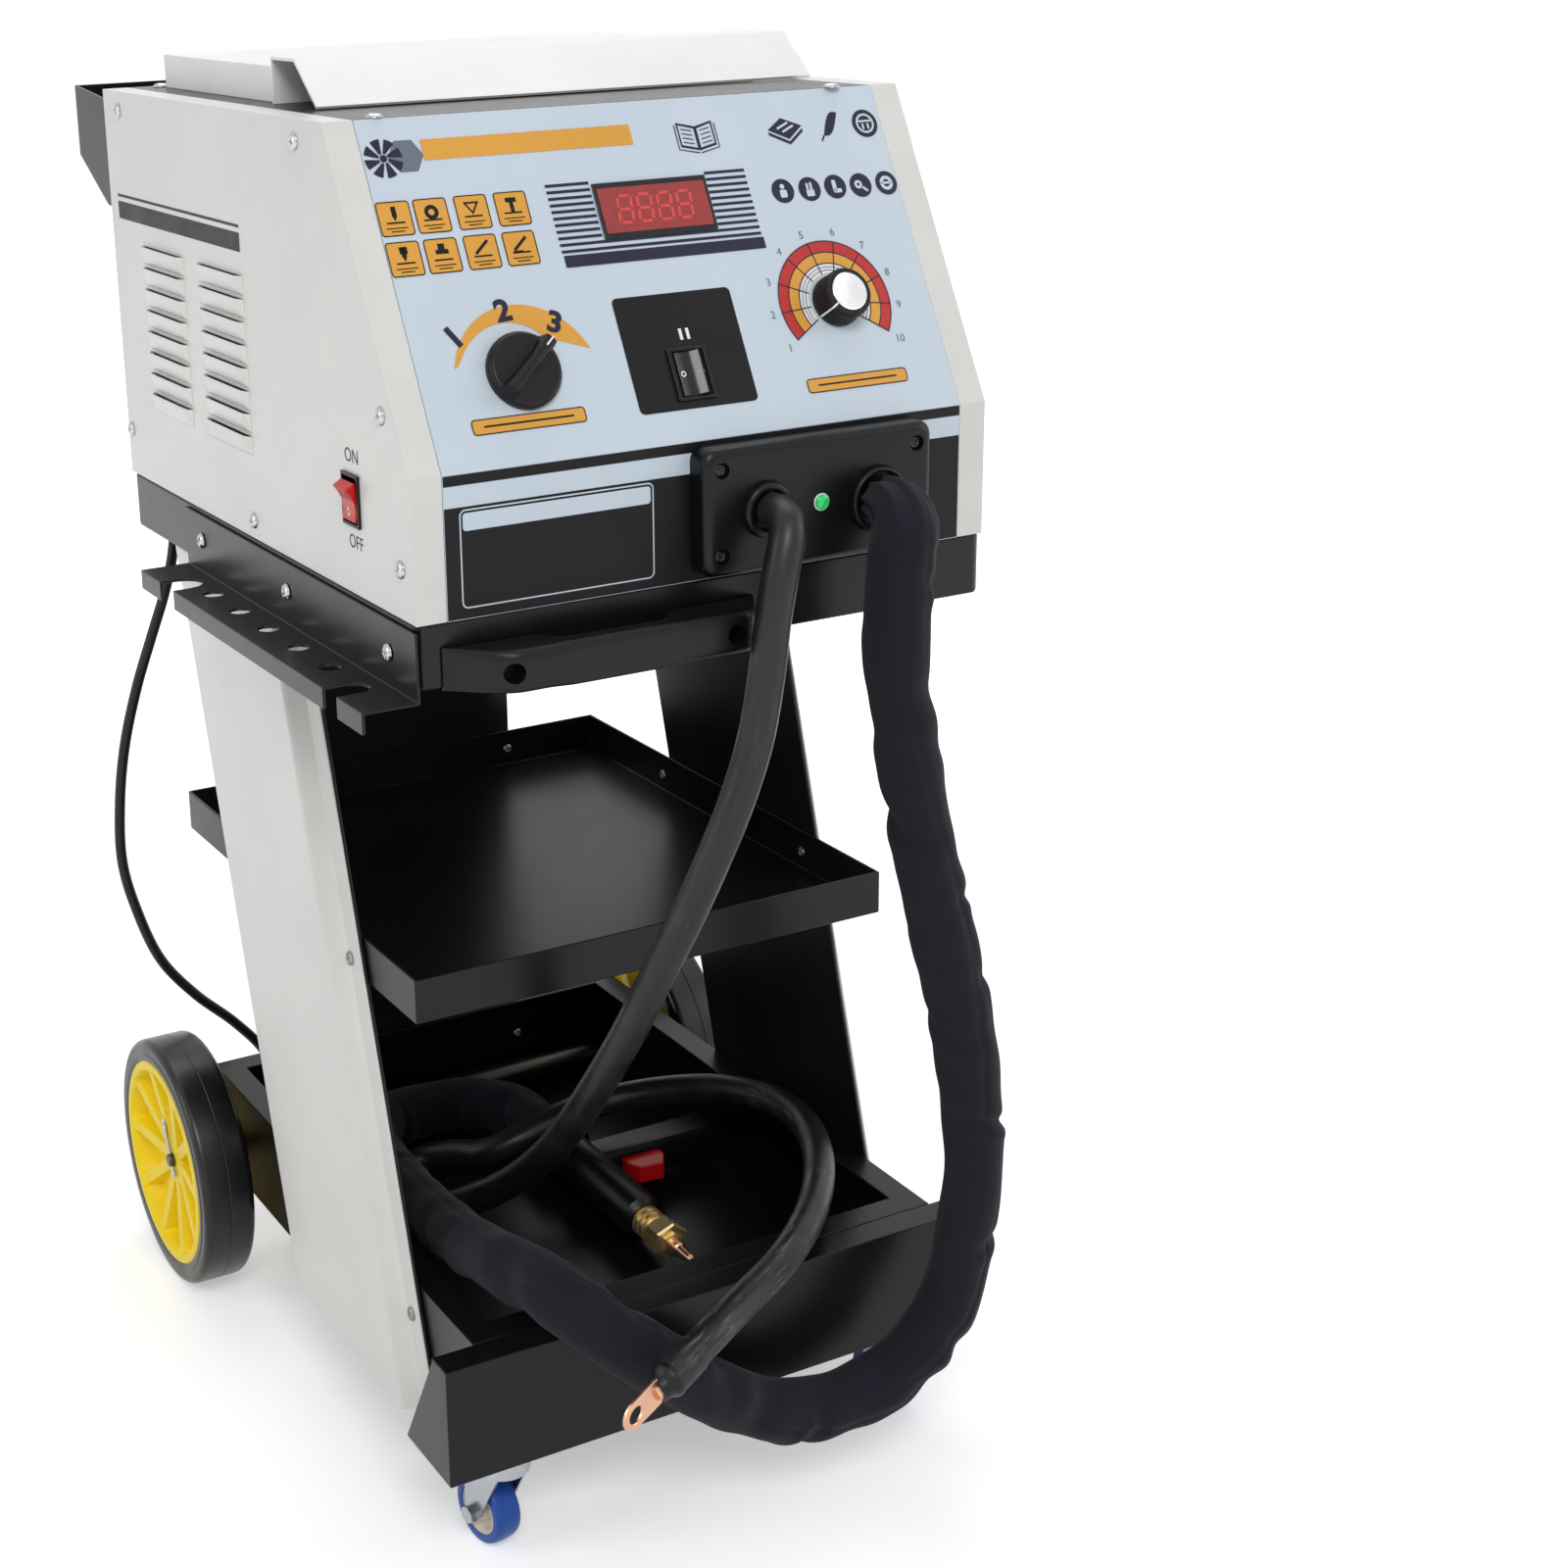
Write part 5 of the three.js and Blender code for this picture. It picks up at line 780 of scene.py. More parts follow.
def makeAxle():
    a = rearAxle
    low, high = machineBox("rear_axle")
    wheelLow, wheelHigh = machineBox("right_wheel_hub")
    centre = np.r_[(low[0] + high[0]) / 2, (wheelLow[1:] + wheelHigh[1:]) / 2]
    inner = wheelLow[0] - a["play"]
    half = [(0.0, a["end"]), (a["shank"] - a["bevel"], a["end"]), (a["shank"], a["end"] - a["bevel"]),
            (a["shank"], inner), (a["collar"], inner), (a["collar"], inner - a["collarWidth"]),
            (a["middle"], inner - a["collarWidth"])]
    axle = turnedParts(half + [(x, -y) for x, y in half[::-1]], centre, (1, 0, 0), 40)
    addPiece("rearAxle", axle, oiledSteel, replaced=["rear_axle"], sharp=30)
    addPiece("splitPins", pinParts(-1, centre) + pinParts(1, centre), zincPlate)


makeAxle()

# Casters: a blue tyre crowned on its tread, on a beige hub with a sunk middle

casterWheel = {"radius": 25, "half": 9.9, "hub": 17.5, "axle": 4.0, "back": 6.8, "swivel": 10.0, "shoulder": 3.2}


def makeCaster(side):
    c = casterWheel
    hub, half, back = c["hub"], c["half"], c["back"]
    turn = math.radians(c["swivel"])
    blue = [(hub, half - 0.8), (hub + 0.8, half)]
    blue += [(c["radius"] - c["shoulder"] * (1 - math.cos(a) ** 0.6), (half - 0.1) * math.sin(a))
             for a in np.radians(np.linspace(90, -90, 15))]
    blue += [(hub + 0.8, -half), (hub, -half + 0.8), (hub, half - 0.8)]
    face = [(0.0, back), (c["axle"], back), (8.5, back), (9.5, back - 2.6), (13.5, back - 2.6), (14.5, back + 0.6),
            (16.4, half - 0.4), (hub, half - 0.9)]
    node, body = side + "_caster_wheel", side + "_roller"
    where = sum(machineBox(node)) / 2, (math.cos(turn), math.sin(turn), 0), 72
    addPiece("casterTyre" + side.title(), turnedParts(blue, *where), bluePlastic, body, [node], sharp=40)
    addPiece("casterHub" + side.title(), turnedParts(face + [(x, -y) for x, y in face[::-1]], *where), beigePlastic,
             body, sharp=30)


makeCaster("left")
makeCaster("right")

print("wheels turned")


# Carrying handle: a rounded section carried along x between an outer and an inner line

handle = {"left": -190.0, "right": 27.0, "front": -186.0, "back": -154.3, "flat": (40.0, 24.0), "gap": (55.0, 59.0),
          "gapEase": 20, "power": 0.42, "bar": 14.5, "middle": 631.2, "half": 14.2, "columns": 56, "rows": 131,
          "screwX": (-157.0, -5.0), "screwZ": 631.0, "screwHole": (6.4, 13.0)}


def handleGrid():
    # a superellipse whose depth follows the flare at each end and the gap behind the bar
    h = handle
    x = h["left"] + (h["right"] - h["left"]) * (0.5 - 0.5 * np.cos(np.linspace(0, math.pi, h["rows"])))
    flare = np.clip(np.minimum((x - h["left"]) / h["flat"][0], (h["right"] - x) / h["flat"][1]), 0, 1)
    outer = h["back"] + (h["front"] - h["back"]) * np.sin(flare * math.pi / 2) ** 1.15 - 1.2 * (flare > 0)
    gap = eased(np.minimum(x - h["left"] - h["gap"][0], h["right"] - h["gap"][1] - x) / h["gapEase"])
    inner = h["back"] + (h["front"] + h["bar"] - h["back"]) * gap
    angle = roundAngles(h["columns"])
    c, s = (np.sign(v) * np.abs(v) ** h["power"] for v in (np.cos(angle), np.sin(angle)))
    y = ((outer + inner) / 2)[:, None] + ((inner - outer) / 2)[:, None] * c
    z = h["middle"] + h["half"] * (0.93 + 0.07 * flare[:, None]) * s
    return place(np.stack([np.broadcast_to(x[:, None], y.shape), y, z], -1).reshape(-1, 3))


def makeHandle():
    h = handle
    points, cells = handleGrid(), gridFaces(h["rows"], h["columns"], capped=True)
    corners = points[[cell[0] for cell in cells]]
    away = corners * (0, 1, 1) - (0, *corners[:, 1:].mean(0))
    piece = addPiece("carryHandle", (points, cells), blackPlastic, replaced=["front_handle"], facing=away)
    for x in h["screwX"]:
        sink(piece, (x, h["front"], h["screwZ"]), *h["screwHole"], sharp=50)


makeHandle()
print("handle moulded")


# Screws: domed heads with a cross recess

screw = {"rings": 13, "sides": 40, "crossWidth": 0.75, "crossReach": 0.56, "crossDepth": 0.75}


def screwParts(centre, axis, radius, height, turn):
    # a polar grid: height times a flattened dome, less a cross that fades out at its ends
    axis, side, over = squareTo(axis)
    share, angle = np.linspace(0, 1, screw["rings"])[:, None] ** 0.9, roundAngles(screw["sides"])[None]
    x, y = share * np.cos(angle), share * np.sin(angle)
    dome = np.sqrt(np.clip(1 - share ** 2 * 0.98, 0, 1)) ** 0.8
    along, across = x * math.cos(turn) + y * math.sin(turn), y * math.cos(turn) - x * math.sin(turn)
    narrow = np.exp(-(np.minimum(np.abs(along), np.abs(across)) * radius / screw["crossWidth"]) ** 4)
    reach = np.clip((screw["crossReach"] - share) * 8, 0, 1)
    rise = height * (dome - screw["crossDepth"] * narrow * reach)
    grid = centre + radius * (x[..., None] * side + y[..., None] * over) + rise[..., None] * axis
    return place(grid.reshape(-1, 3)), gridFaces(screw["rings"], screw["sides"])


def screwSet(name, spots, material, radius=5.6, height=3.3):
    # spots are (centre, axis); each head is turned its own way
    parts = [screwParts(centre, axis, radius, height, 0.7 + 2.1 * k) for k, (centre, axis) in enumerate(spots)]
    facing = np.vstack([np.tile(axis, (len(part[1]), 1)) for (_, axis), part in zip(spots, parts)])
    addPiece(name, parts, material, facing=facing, sharp=50)


sideSpots = [(328, 929), (-5, 929), (-116, 778.5), (-135, 690), (103.5, 672), (352, 693)]
rackSpots = [(203.7, 637.4), (43.6, 636.3), (-117.7, 635.4)]
screwSet("hoodScrews", [((side * (hoodHalf - 0.3), y, z), (side, 0, 0)) for side in (-1, 1) for y, z in sideSpots]
         + [((x, y, z), (math.copysign(1, x), 0, 0)) for x in (-207.8, 205.3) for y, z in rackSpots], zincPlate)
screwSet("uprightScrews", [((side * 187.2, y, z), (side, 0, 0)) for side in (-1, 1)
                           for y, z in ((19.2, 379.9), (-56.0, 143.7))], castZinc, 5.0, 2.6)
screwSet("shelfScrews", [((side * 180.6, y, 381.4), (-side, 0, 0)) for side in (-1, 1) for y in (20.6, 225.0)]
         + [((x, 349.5, 382.6), front) for x in (-100.5, 100.5)]
         + [((x, 335.1, 126.7), front) for x in (-93.6, 93.6)], castZinc, 4.0, 2.2)
screwSet("topScrews", [((x, y, 942.6), (0, 0, 1)) for x, y in ((-166, 344), (-169, -45), (154, -50), (154, 344))],
         zincPlate)

print("screws set")


# Louvres: the sheet is pushed out along each slot's lower edge and falls back to the panel

louvre = {"columns": (212, 99), "length": 80, "firstTop": 836, "pitch": 15.2, "count": 8, "out": 3.9, "drop": 12.6,
          "overhang": 4, "taper": 9, "lift": 0.3, "wall": 0.9}


def louvreParts(side):
    # out from the panel: a fall from the open edge down, times a rounded rise from each end
    c = louvre
    u = np.linspace(-c["overhang"] / 2, c["length"] + c["overhang"] / 2, 41)
    w = np.linspace(0, 1, 13)[:, None]
    ends = np.clip(np.minimum(u - u[0], u[-1] - u) / c["taper"], 0, 1)
    out = c["out"] * (1 - w ** 1.5) ** 1.2 * np.sin(ends * math.pi / 2) ** 0.8 + c["lift"]
    parts = []
    for column in c["columns"]:
        for k in range(c["count"]):
            y = np.broadcast_to(column + u, out.shape)
            z = np.broadcast_to(c["firstTop"] - c["pitch"] * k + c["lift"] - c["drop"] * w, out.shape)
            grid = np.stack([side * (hoodHalf + out), y, z], -1)
            parts.append((place(grid.reshape(-1, 3)), gridFaces(*out.shape, wrap=False)))
    return parts


for side, name in ((-1, "louvresLeft"), (1, "louvresRight")):
    piece = addPiece(name, louvreParts(side), whitePaint, sharp=40, facing=(side, 0, 0))
    wall = piece.modifiers.new("sheetWall", "SOLIDIFY")
    wall.thickness, wall.offset = louvre["wall"] * mm, -1

print("louvres pressed")


# Printing and labels on the hood: flat shapes, each (points, faces), placed (across, up) on a face in mm. On the
# slope, up is zero at the top edge, so places there are given as (across, down).

ink = {"lift": 0.15, "layer": 0.12, "line": 0.8}


def filled(*loops):
    # the area within an outline, less the holes
    flat = [[Vector((x, y, 0)) for x, y in loop] for loop in loops]
    return np.array([p for loop in loops for p in loop], float), [list(t) for t in tessellate_polygon(flat)]


def printed(name, face, shapes, layer, material):
    # inks or labels on a face, so many layers up
    lift = ink["lift"] + layer * ink["layer"]
    addPiece(name, [(place(onFace(face, points, lift)), cells) for points, cells in shapes], material,
             facing=outOf(face))


def draped(name, node, face, shapes, lift, material, body="machine"):
    # shapes on a face dropped onto a node's own surface and lifted off it
    source = nodes[node]
    tree = BVHTree.FromPolygons([source.matrix_world @ v.co for v in source.data.vertices],
                                [tuple(p.vertices) for p in source.data.polygons])
    away = Vector(outOf(face))
    parts = []
    for points, cells in shapes:
        starts = [Vector(p) for p in place(onFace(face, points, 60.0))]
        hits = [tree.ray_cast(start, -away, 0.2)[0] or start - away * 0.06 for start in starts]
        parts.append((np.array([hit + away * lift * mm for hit in hits]), cells))
    addPiece(name, parts, material, body, facing=outOf(face))


def roundBox(x0, x1, y0, y1, radius, steps=5):
    points = []
    for x, y, quarter in ((x1, y1, 0), (x0, y1, 1), (x0, y0, 2), (x1, y0, 3)):
        cx, cy = x - math.copysign(radius, x - (x0 + x1) / 2), y - math.copysign(radius, y - (y0 + y1) / 2)
        points += arcLine(cx, cy, radius, 90 * quarter, 90 * quarter + 90, steps + 1)
    return points


def arcLine(cx, cy, radius, start, end, count=24):
    angle = np.radians(np.linspace(start, end, count))
    return list(zip(cx + radius * np.cos(angle), cy + radius * np.sin(angle)))


def disc(x, y, radius, hole=0.01, count=40):
    return filled(*(arcLine(x, y, size, 0, 360, count)[:-1] for size in (radius, hole)))


def bar(x0, x1, y0, y1, radius=0.0):
    return filled(roundBox(x0, x1, y0, y1, radius) if radius else [(x0, y0), (x1, y0), (x1, y1), (x0, y1)])


def slopeBar(x0, x1, top, foot, radius=0.0):
    return bar(x0, x1, -foot, -top, radius)


def frameBox(x0, x1, y0, y1, radius, width):
    inner = roundBox(x0 + width, x1 - width, y0 + width, y1 - width, max(radius - width, 0.3))
    return filled(roundBox(x0, x1, y0, y1, radius), inner)


def stroke(points, width):
    # a bent line drawn with one width
    p = np.asarray(points, float)
    along = np.gradient(p, axis=0)
    along /= np.linalg.norm(along, axis=1, keepdims=True)
    side = np.stack([-along[:, 1], along[:, 0]], 1) * width / 2
    count = len(p)
    return np.vstack([p + side, p - side]), [[i, i + 1, count + i + 1, count + i] for i in range(count - 1)]


def moved(shapes, x, y):
    return [(points + (x, y), cells) for points, cells in shapes]


def words(text, cx, cy, height, stretch=1.0, turn=0.0, weight=0.0):
    # figures and plain words as flat shapes, height of a capital in millimetres, centred on a point
    data = bpy.data.curves.new("words", "FONT")
    data.body, data.offset = text, weight
    data.align_x, data.align_y = "CENTER", "CENTER"
    piece = linked("words", data)
    mesh = bpy.data.meshes.new_from_object(piece.evaluated_get(bpy.context.evaluated_depsgraph_get()))
    points = np.array([v.co[:2] for v in mesh.vertices], float)
    cells = [list(p.vertices) for p in mesh.polygons]
    bpy.data.objects.remove(piece)
    bpy.data.curves.remove(data)
    bpy.data.meshes.remove(mesh)
    points -= (points.max(0) + points.min(0)) / 2
    points *= height / np.ptp(points[:, 1])
    points[:, 0] *= stretch
    c, s = math.cos(math.radians(turn)), math.sin(math.radians(turn))
    return points @ np.array([[c, s], [-s, c]]) + (cx, cy), cells


# Stripes beside and below the display, with a bar under them

stripes = {"left": -70.6, "right": 72.0, "gap": (-40.5, 42.5), "gapEnd": 87.5, "from": 50.4, "to": 95.0,
           "width": 1.9, "count": 11, "bar": (-70.0, 72.9, 96.6, 104.2)}


def stripeShapes():
    c = stripes
    shapes = []
    for top in np.linspace(c["from"], c["to"] - c["width"], c["count"]):
        ends = (c["left"], *c["gap"], c["right"]) if top < c["gapEnd"] else (c["left"], c["right"])
        shapes += [slopeBar(x0, x1, top, top + c["width"]) for x0, x1 in zip(ends[::2], ends[1::2])]
    return shapes + [slopeBar(*c["bar"])]


# The dial round the small knob: coloured bands, their lines, ten ticks and figures at listed places

dial = {"x": 112.4, "down": 144.3, "bands": (19.0, 26.0, 33.5, 41.0), "rings": (21.4, 23.6), "ring": 0.4,
        "first": 212.5, "step": -27.44, "figure": 5.0,
        "places": ((70.8, 170.8), (64.6, 148.3), (67.6, 126.7), (81.3, 107.4), (100.6, 98.1), (124.4, 97.8),
                   (144.3, 108.6), (157.5, 128.2), (159.6, 150.6), (154.2, 173))}


def dialBand(inner, outer):
    c = dial
    ends = c["first"], c["first"] + 9 * c["step"]
    return filled(arcLine(c["x"], -c["down"], outer, *ends, 60) + arcLine(c["x"], -c["down"], inner, *ends[::-1], 60))


def dialLines():
    c, line = dial, ink["line"]
    shapes = [dialBand(radius - width / 2, radius + width / 2) for radius, width in
              [(radius, line) for radius in c["bands"][1:]] + [(radius, c["ring"]) for radius in c["rings"]]]
    for k in range(10):
        angle = math.radians(c["first"] + c["step"] * k)
        away = np.array([math.cos(angle), math.sin(angle)])
        shapes.append(stroke(np.outer((c["bands"][0], c["bands"][3] + line / 2), away) + (c["x"], -c["down"]), line))
    return shapes


# The selector's crescent, which grows from a point to a blunt end, and its figures

selector = {"x": -116.9, "down": 165.5, "from": 171.6, "to": 11.4, "innerTo": 45.0, "figure": 14.4,
            "figures": (("1", -155.7, -139.6, 32), ("2", -119.8, -126.4, 4), ("3", -87.6, -137.0, -22))}


def crescent():
    c = selector
    t = np.linspace(0, 1, 60)
    edges = []
    for end, radius in ((c["to"], 43.4 - 12.6 * t + 18.8 * t ** 2), (c["innerTo"], 43.3 - 15.3 * np.sqrt(t))):
        angle = np.radians(c["from"] + (end - c["from"]) * t)
        edges.append(np.stack([np.cos(angle), np.sin(angle)], 1) * radius[:, None])
    return filled((np.vstack([edges[0], edges[1][:0:-1]]) + (c["x"], -c["down"])).tolist())


# Orange squares with plain tool signs, and bordered labels, by their places

square = {"half": 10.9, "corner": 2.2, "border": 0.7, "signUp": 1.6,
          "places": ((-173.6, 63.5), (-149.4, 63.5), (-122.6, 63.5), (-96.0, 63.5),
                     (-173.6, 88.9), (-149.0, 88.9), (-122.9, 88.9), (-97.0, 88.9))}
label = {"corner": 2.6, "border": 0.7, "boxes": ((-158.5, -82.5, -201.0, -191.2), (75.3, 151.0, -202.0, -192.5)),
         "lines": ((-150.5, -90.5, -196.7, -195.5), (83.5, 142.8, -197.8, -196.7)),
         "header": (-145.4, -1.9, 15.3, 28.6)}


def toolSigns():
    # a pointed rod over a plate, a ring, a triangle frame, a bolt and the like, each about its own middle
    rod = filled([(-1.6, 6), (1.6, 6), (1.6, 0), (0, -3.4), (-1.6, 0)])
    plate = bar(-6, 6, -4.8, -3.7)
    slanted = stroke([(-4.5, -2.6), (4.8, 5.4)], 1.9)
    triangle = filled([(-5.4, 5), (5.4, 5), (0, -3.2)], [(-3.2, 3.8), (3.2, 3.8), (0, -1.2)])
    return [[rod, plate], [disc(0, 0.6, 4.6, 2.0), plate], [triangle, plate],
            [bar(-3.6, 3.6, 2.5, 5.5), bar(-1.3, 1.3, -3.8, 2.6), plate], [bar(-2.6, 2.6, 1.5, 6), rod, plate],
            [bar(-4.2, 4.2, -0.6, 2.2), bar(-2.2, 2.2, 2.0, 6), plate], [slanted, plate],
            [slanted, stroke([(-5.6, -3.4), (1.0, -3.4)], 0.9), plate]]


def squareMarks():
    # a border, a sign and two short lines under it on each square, and the labels' borders and lines
    c, half = square, square["half"]
    marks = []
    for (x, down), sign in zip(c["places"], toolSigns()):
        frame = frameBox(-half, half, -half, half, c["corner"], c["border"])
        under = [bar(-7.0, 7.0, -6.4, -5.7), bar(-4.5, 4.5, -8.4, -7.7)]
        marks += moved([frame, *under, *moved(sign, 0, c["signUp"])], x, -down)
    marks += [frameBox(*box, label["corner"], label["border"]) for box in label["boxes"]]
    return marks + [bar(*box) for box in label["lines"]]


# Dark corner signs: a row of discs with pale marks, an open book, a card, a leaf, and a fan beside a hexagon

signs = {"discs": ((96.4, -67.6), (116.6, -67.9), (136.3, -67.8), (155.9, -68.3), (175.9, -68.3), (172.2, -26.4)),
         "radii": (8.2, 8.2, 8.2, 8.2, 8.2, 9.6), "book": (44.5, -27.6), "card": (111.0, -27.1), "leaf": (144.6, -26.6),
         "fan": (-171.4, -25.6), "hexagon": (-156.6, -25.0, 11.6)}


def discMarks():
    # each about its own middle: a figure, a glove, a boot, a magnifier, a crossed ring and a face
    return [[disc(0, 3.0, 1.7), bar(-2.6, 2.6, -4.6, 0.8, 1.2)],
            [bar(-2.9, 2.9, -5.0, -0.4, 0.9), bar(-2.4, -0.6, -1.0, 4.2, 0.8), bar(0.4, 2.2, -1.0, 4.6, 0.8)],
            [bar(-2.2, 0.8, -3.8, 4.6, 0.9), bar(-2.2, 4.4, -4.2, -1.4, 1.2)],
            [disc(-1.8, 0.6, 2.9, 1.1), stroke([(1.0, -1.4), (4.4, -4.4)], 1.7)],
            [disc(0, 0, 4.9, 2.6), bar(-4.4, 4.4, -0.7, 0.9)],
            [disc(0, 0, 6.8, 5.4), stroke([(-5, 1.6), (5, 1.6)], 1.3), bar(-2.8, -1.4, -4, 0), bar(1.2, 2.6, -4, 0)]]


def bookSign():
    # two leaning pages in outline with four lines each, and the cover's edge
    shapes = []
    for side in (-1, 1):
        outlines = ([(0, -8.4), (13.0, -5.4), (13.0, 11.0), (0, 7.8)],
                    [(1.1, -6.6), (11.9, -4.0), (11.9, 9.4), (1.1, 6.4)])
        lines = [([(3.0, -3.8 + 2.9 * k), (10.4, -2.2 + 2.9 * k)], 0.7) for k in range(4)]
        lines.append(([(0.6, -10.0), (14.6, -7.0), (14.6, 9.4)], 0.8))
        shapes.append(filled(*([(side * x, y) for x, y in outline] for outline in outlines)))
        shapes += [stroke([(side * x, y) for x, y in line], width) for line, width in lines]
    return shapes


def cardSign():
    return [filled([(-13.5, 1), (-2, 8.6), (12.5, 2.5), (1, -6)]),
            filled([(-13.5, -0.4), (1, -7.6), (12.5, 0.8), (12.5, -1.4), (1, -9.8), (-13.5, -2.6)])]


def leafSign():
    # two arcs that meet in points, and a stalk
    t = np.linspace(0, 1, 16)
    upper, lower = (np.stack([-6 + 14 * t, -6 + 15 * t + bulge * np.sin(math.pi * t)], 1) for bulge in (6.4, -5.6))
    return [filled(np.vstack([upper, lower[-2:0:-1]]).tolist()), stroke([(-6, -6), (-8.4, -9.6)], 1.2)]


def fanSign():
    # eight swept blades round a hub
    return [filled(arcLine(0, 0, 12.4, a, a + 31, 6) + arcLine(0, 0, 3.0, a + 42, a + 12, 4))
            for a in range(0, 360, 45)] + [disc(0, 0, 2.4)]


def printSlope():
    navy = stripeShapes() + dialLines()
    navy += [words(text, x, y, selector["figure"], 1.1, turn, 0.04) for text, x, y, turn in selector["figures"]]
    printed("panelNavy", "slope", navy, 2, navyInk)
    for k, (name, material) in enumerate((("dialPale", whiteInk), ("dialOrange", orangeInk), ("dialRed", redInk))):
        printed(name, "slope", [dialBand(*dial["bands"][k:k + 2])], 1, material)
    figures = [words(str(k + 1), x, -down, dial["figure"]) for k, (x, down) in enumerate(dial["places"])]
    printed("dialNumerals", "slope", figures, 1, greyInk)
    half = square["half"]
    orange = [crescent(), slopeBar(*label["header"])]
    orange += [bar(x - half, x + half, -down - half, -down + half, square["corner"]) for x, down in square["places"]]
    orange += [bar(*box, label["corner"]) for box in label["boxes"]]
    printed("panelOrange", "slope", orange, 1, orangeInk)
    printed("panelMarks", "slope", squareMarks(), 2, charcoalInk)
    dark = [disc(*spot, radius) for spot, radius in zip(signs["discs"], signs["radii"])]
    dark += moved(bookSign(), *signs["book"]) + moved(cardSign(), *signs["card"]) + moved(leafSign(), *signs["leaf"])
    printed("cornerSigns", "slope", dark, 1, navyInk)
    pale = [shape for spot, marks in zip(signs["discs"], discMarks()) for shape in moved(marks, *spot)]
    cardLines = [stroke(line, 1.4) for line in ([(-6.5, 1.4), (2.4, 5.2)], [(-3.0, -1.0), (6.0, 3.0)])]
    printed("cornerMarks", "slope", pale + moved(cardLines, *signs["card"]), 2, panelFilm)
    printed("hexagonSign", "slope", [filled(arcLine(*signs["hexagon"], 0, 360, 7)[:-1])], 0, greyInk)
    printed("fanSign", "slope", moved(fanSign(), *signs["fan"]), 1, navyInk)


printSlope()


# The lower face: a dark band and a pale strip at the knee, black below, and a blank bordered label. The left side:
# a thin bar over a thick one, and the words beside the main switch.

frontPrint = {"half": 184.4, "bands": ((740.2, 746.6), (659.6, 727.2)), "label": (-174.8, -43.7, 665.6, 725.6),
              "corner": 4.0, "border": 0.9, "inset": 2.2, "header": 13.0}
sidePrint = {"bars": ((-343, -98.6, 867.4, 869.4), (-343, -98.6, 851.6, 864.2)),
             "words": (("ON", 69.0, 746.8, 8.6, 1.08), ("OFF", 70.5, 693.0, 8.6, 1.0))}


def printRest():
    c = frontPrint
    x0, x1, y0, y1 = c["label"]
    header = bar(x0 + c["inset"], x1 - c["inset"], y1 - c["header"], y1 - c["inset"], 2.0)
    printed("frontBand", "front", [bar(-c["half"], c["half"], *band) for band in c["bands"]], 0, charcoalInk)
    printed("labelBorder", "front", [frameBox(*c["label"], c["corner"], c["border"])], 1, panelFilm)
    printed("labelHeader", "front", [header], 1, panelFilm)
    printed("leftStripes", "left", [bar(*box) for box in sidePrint["bars"]], 0, charcoalInk)
    printed("switchWords", "left", [words(*word) for word in sidePrint["words"]], 0, charcoalInk)


printRest()


# The mode switch's plate and marks, the signs on both rockers, and the display's window and dim figures

modePrint = {"plate": (-46.0, 38.0, 126.8, 201.6, 3.5),
             "marks": ((-5.6, -3.4, -157.4, -150.2), (-0.6, 1.6, -157.4, -150.2)),
             "dot": (-10.4, -179.5, 1.9, 1.1), "dash": (-0.8, 3.4, -179.9, -179.1)}
mainPrint = {"dot": (67.2, 712.2, 2.5, 1.6), "dash": (66.8, 67.6, 724.0, 728.6)}
display = {"window": (-37.0, 39.4, 56.2, 85.6, 1.0), "first": -20.5, "pitch": 14.2, "count": 4, "up": -70.8,
           "half": (4.7, 8.75), "stroke": 1.9, "lean": 0.1, "trim": 0.65}


def figureShapes():
    # four seven-part figures with a small lean, each part trimmed clear of its neighbours
    c = display
    halfW, halfH = c["half"]
    ends = [((-halfW, y), (halfW, y)) for y in (halfH, 0, -halfH)]
    ends += [((x, y), (x, y + halfH)) for x, y in ((-halfW, 0), (halfW, 0), (-halfW, -halfH), (halfW, -halfH))]
    shapes = []
    for pair in ends:
        a, b = (np.array([x + y * c["lean"], y]) for x, y in pair)
        trim = (b - a) / np.linalg.norm(b - a) * c["stroke"] * c["trim"]
        shapes.append(stroke([a + trim, b - trim], c["stroke"]))
    return [shape for k in range(c["count"]) for shape in moved(shapes, c["first"] + c["pitch"] * k, c["up"])]


printed("modePlate", "slope", [slopeBar(*modePrint["plate"])], 1, charcoalInk)
printed("modeMark", "slope", [bar(*box) for box in modePrint["marks"]], 2, whiteInk)
draped("displayRed", "display_window", "slope", [slopeBar(*display["window"])], 0.2, displayGlass)
draped("displayFigures", "display_window", "slope", figureShapes(), 0.35, digitGlow)
for name, body, face, c in (("modeSigns", "mode_rocker", "slope", modePrint),
                            ("mainSigns", "main_rocker", "left", mainPrint)):
    draped(name, body, face, [disc(*c["dot"]), bar(*c["dash"])], 0.2, whiteInk, body)

print("panel printed")


# Knobs on the slope: one with a waisted grip bar, and a fluted one with a spun cap. Profiles are (radius, rise).

gripKnob = {"radius": 24, "skirt": 7.5, "bar": 11.5, "height": 18.6, "point": 40.0, "rings": 46, "sides": 144,
            "round": 3, "wall": 1.6, "end": 2.6, "foot": 0.5, "waist": 0.82}
flutedKnob = {"radius": 17, "flutes": 36, "depth": 0.55,
              "profile": ((0.985, 0.4), (1.0, 1.2), (1.0, 4.0), (0.97, 5.0), (0.97, 15.8), (0.95, 17.2), (0.9, 18.0),
                          (0.74, 18.0)),
              "fluteShares": (0, 0, 0, 1, 1, 0.6, 0, 0)}
knobCap = ((12.6, 17.6), (12.4, 18.7), (11.6, 19.3), (6.0, 19.1), (0.0, 18.9))
gripCentre = np.array([selector["x"], -selector["down"]])
dialCentre = np.array([dial["x"], -dial["down"]])


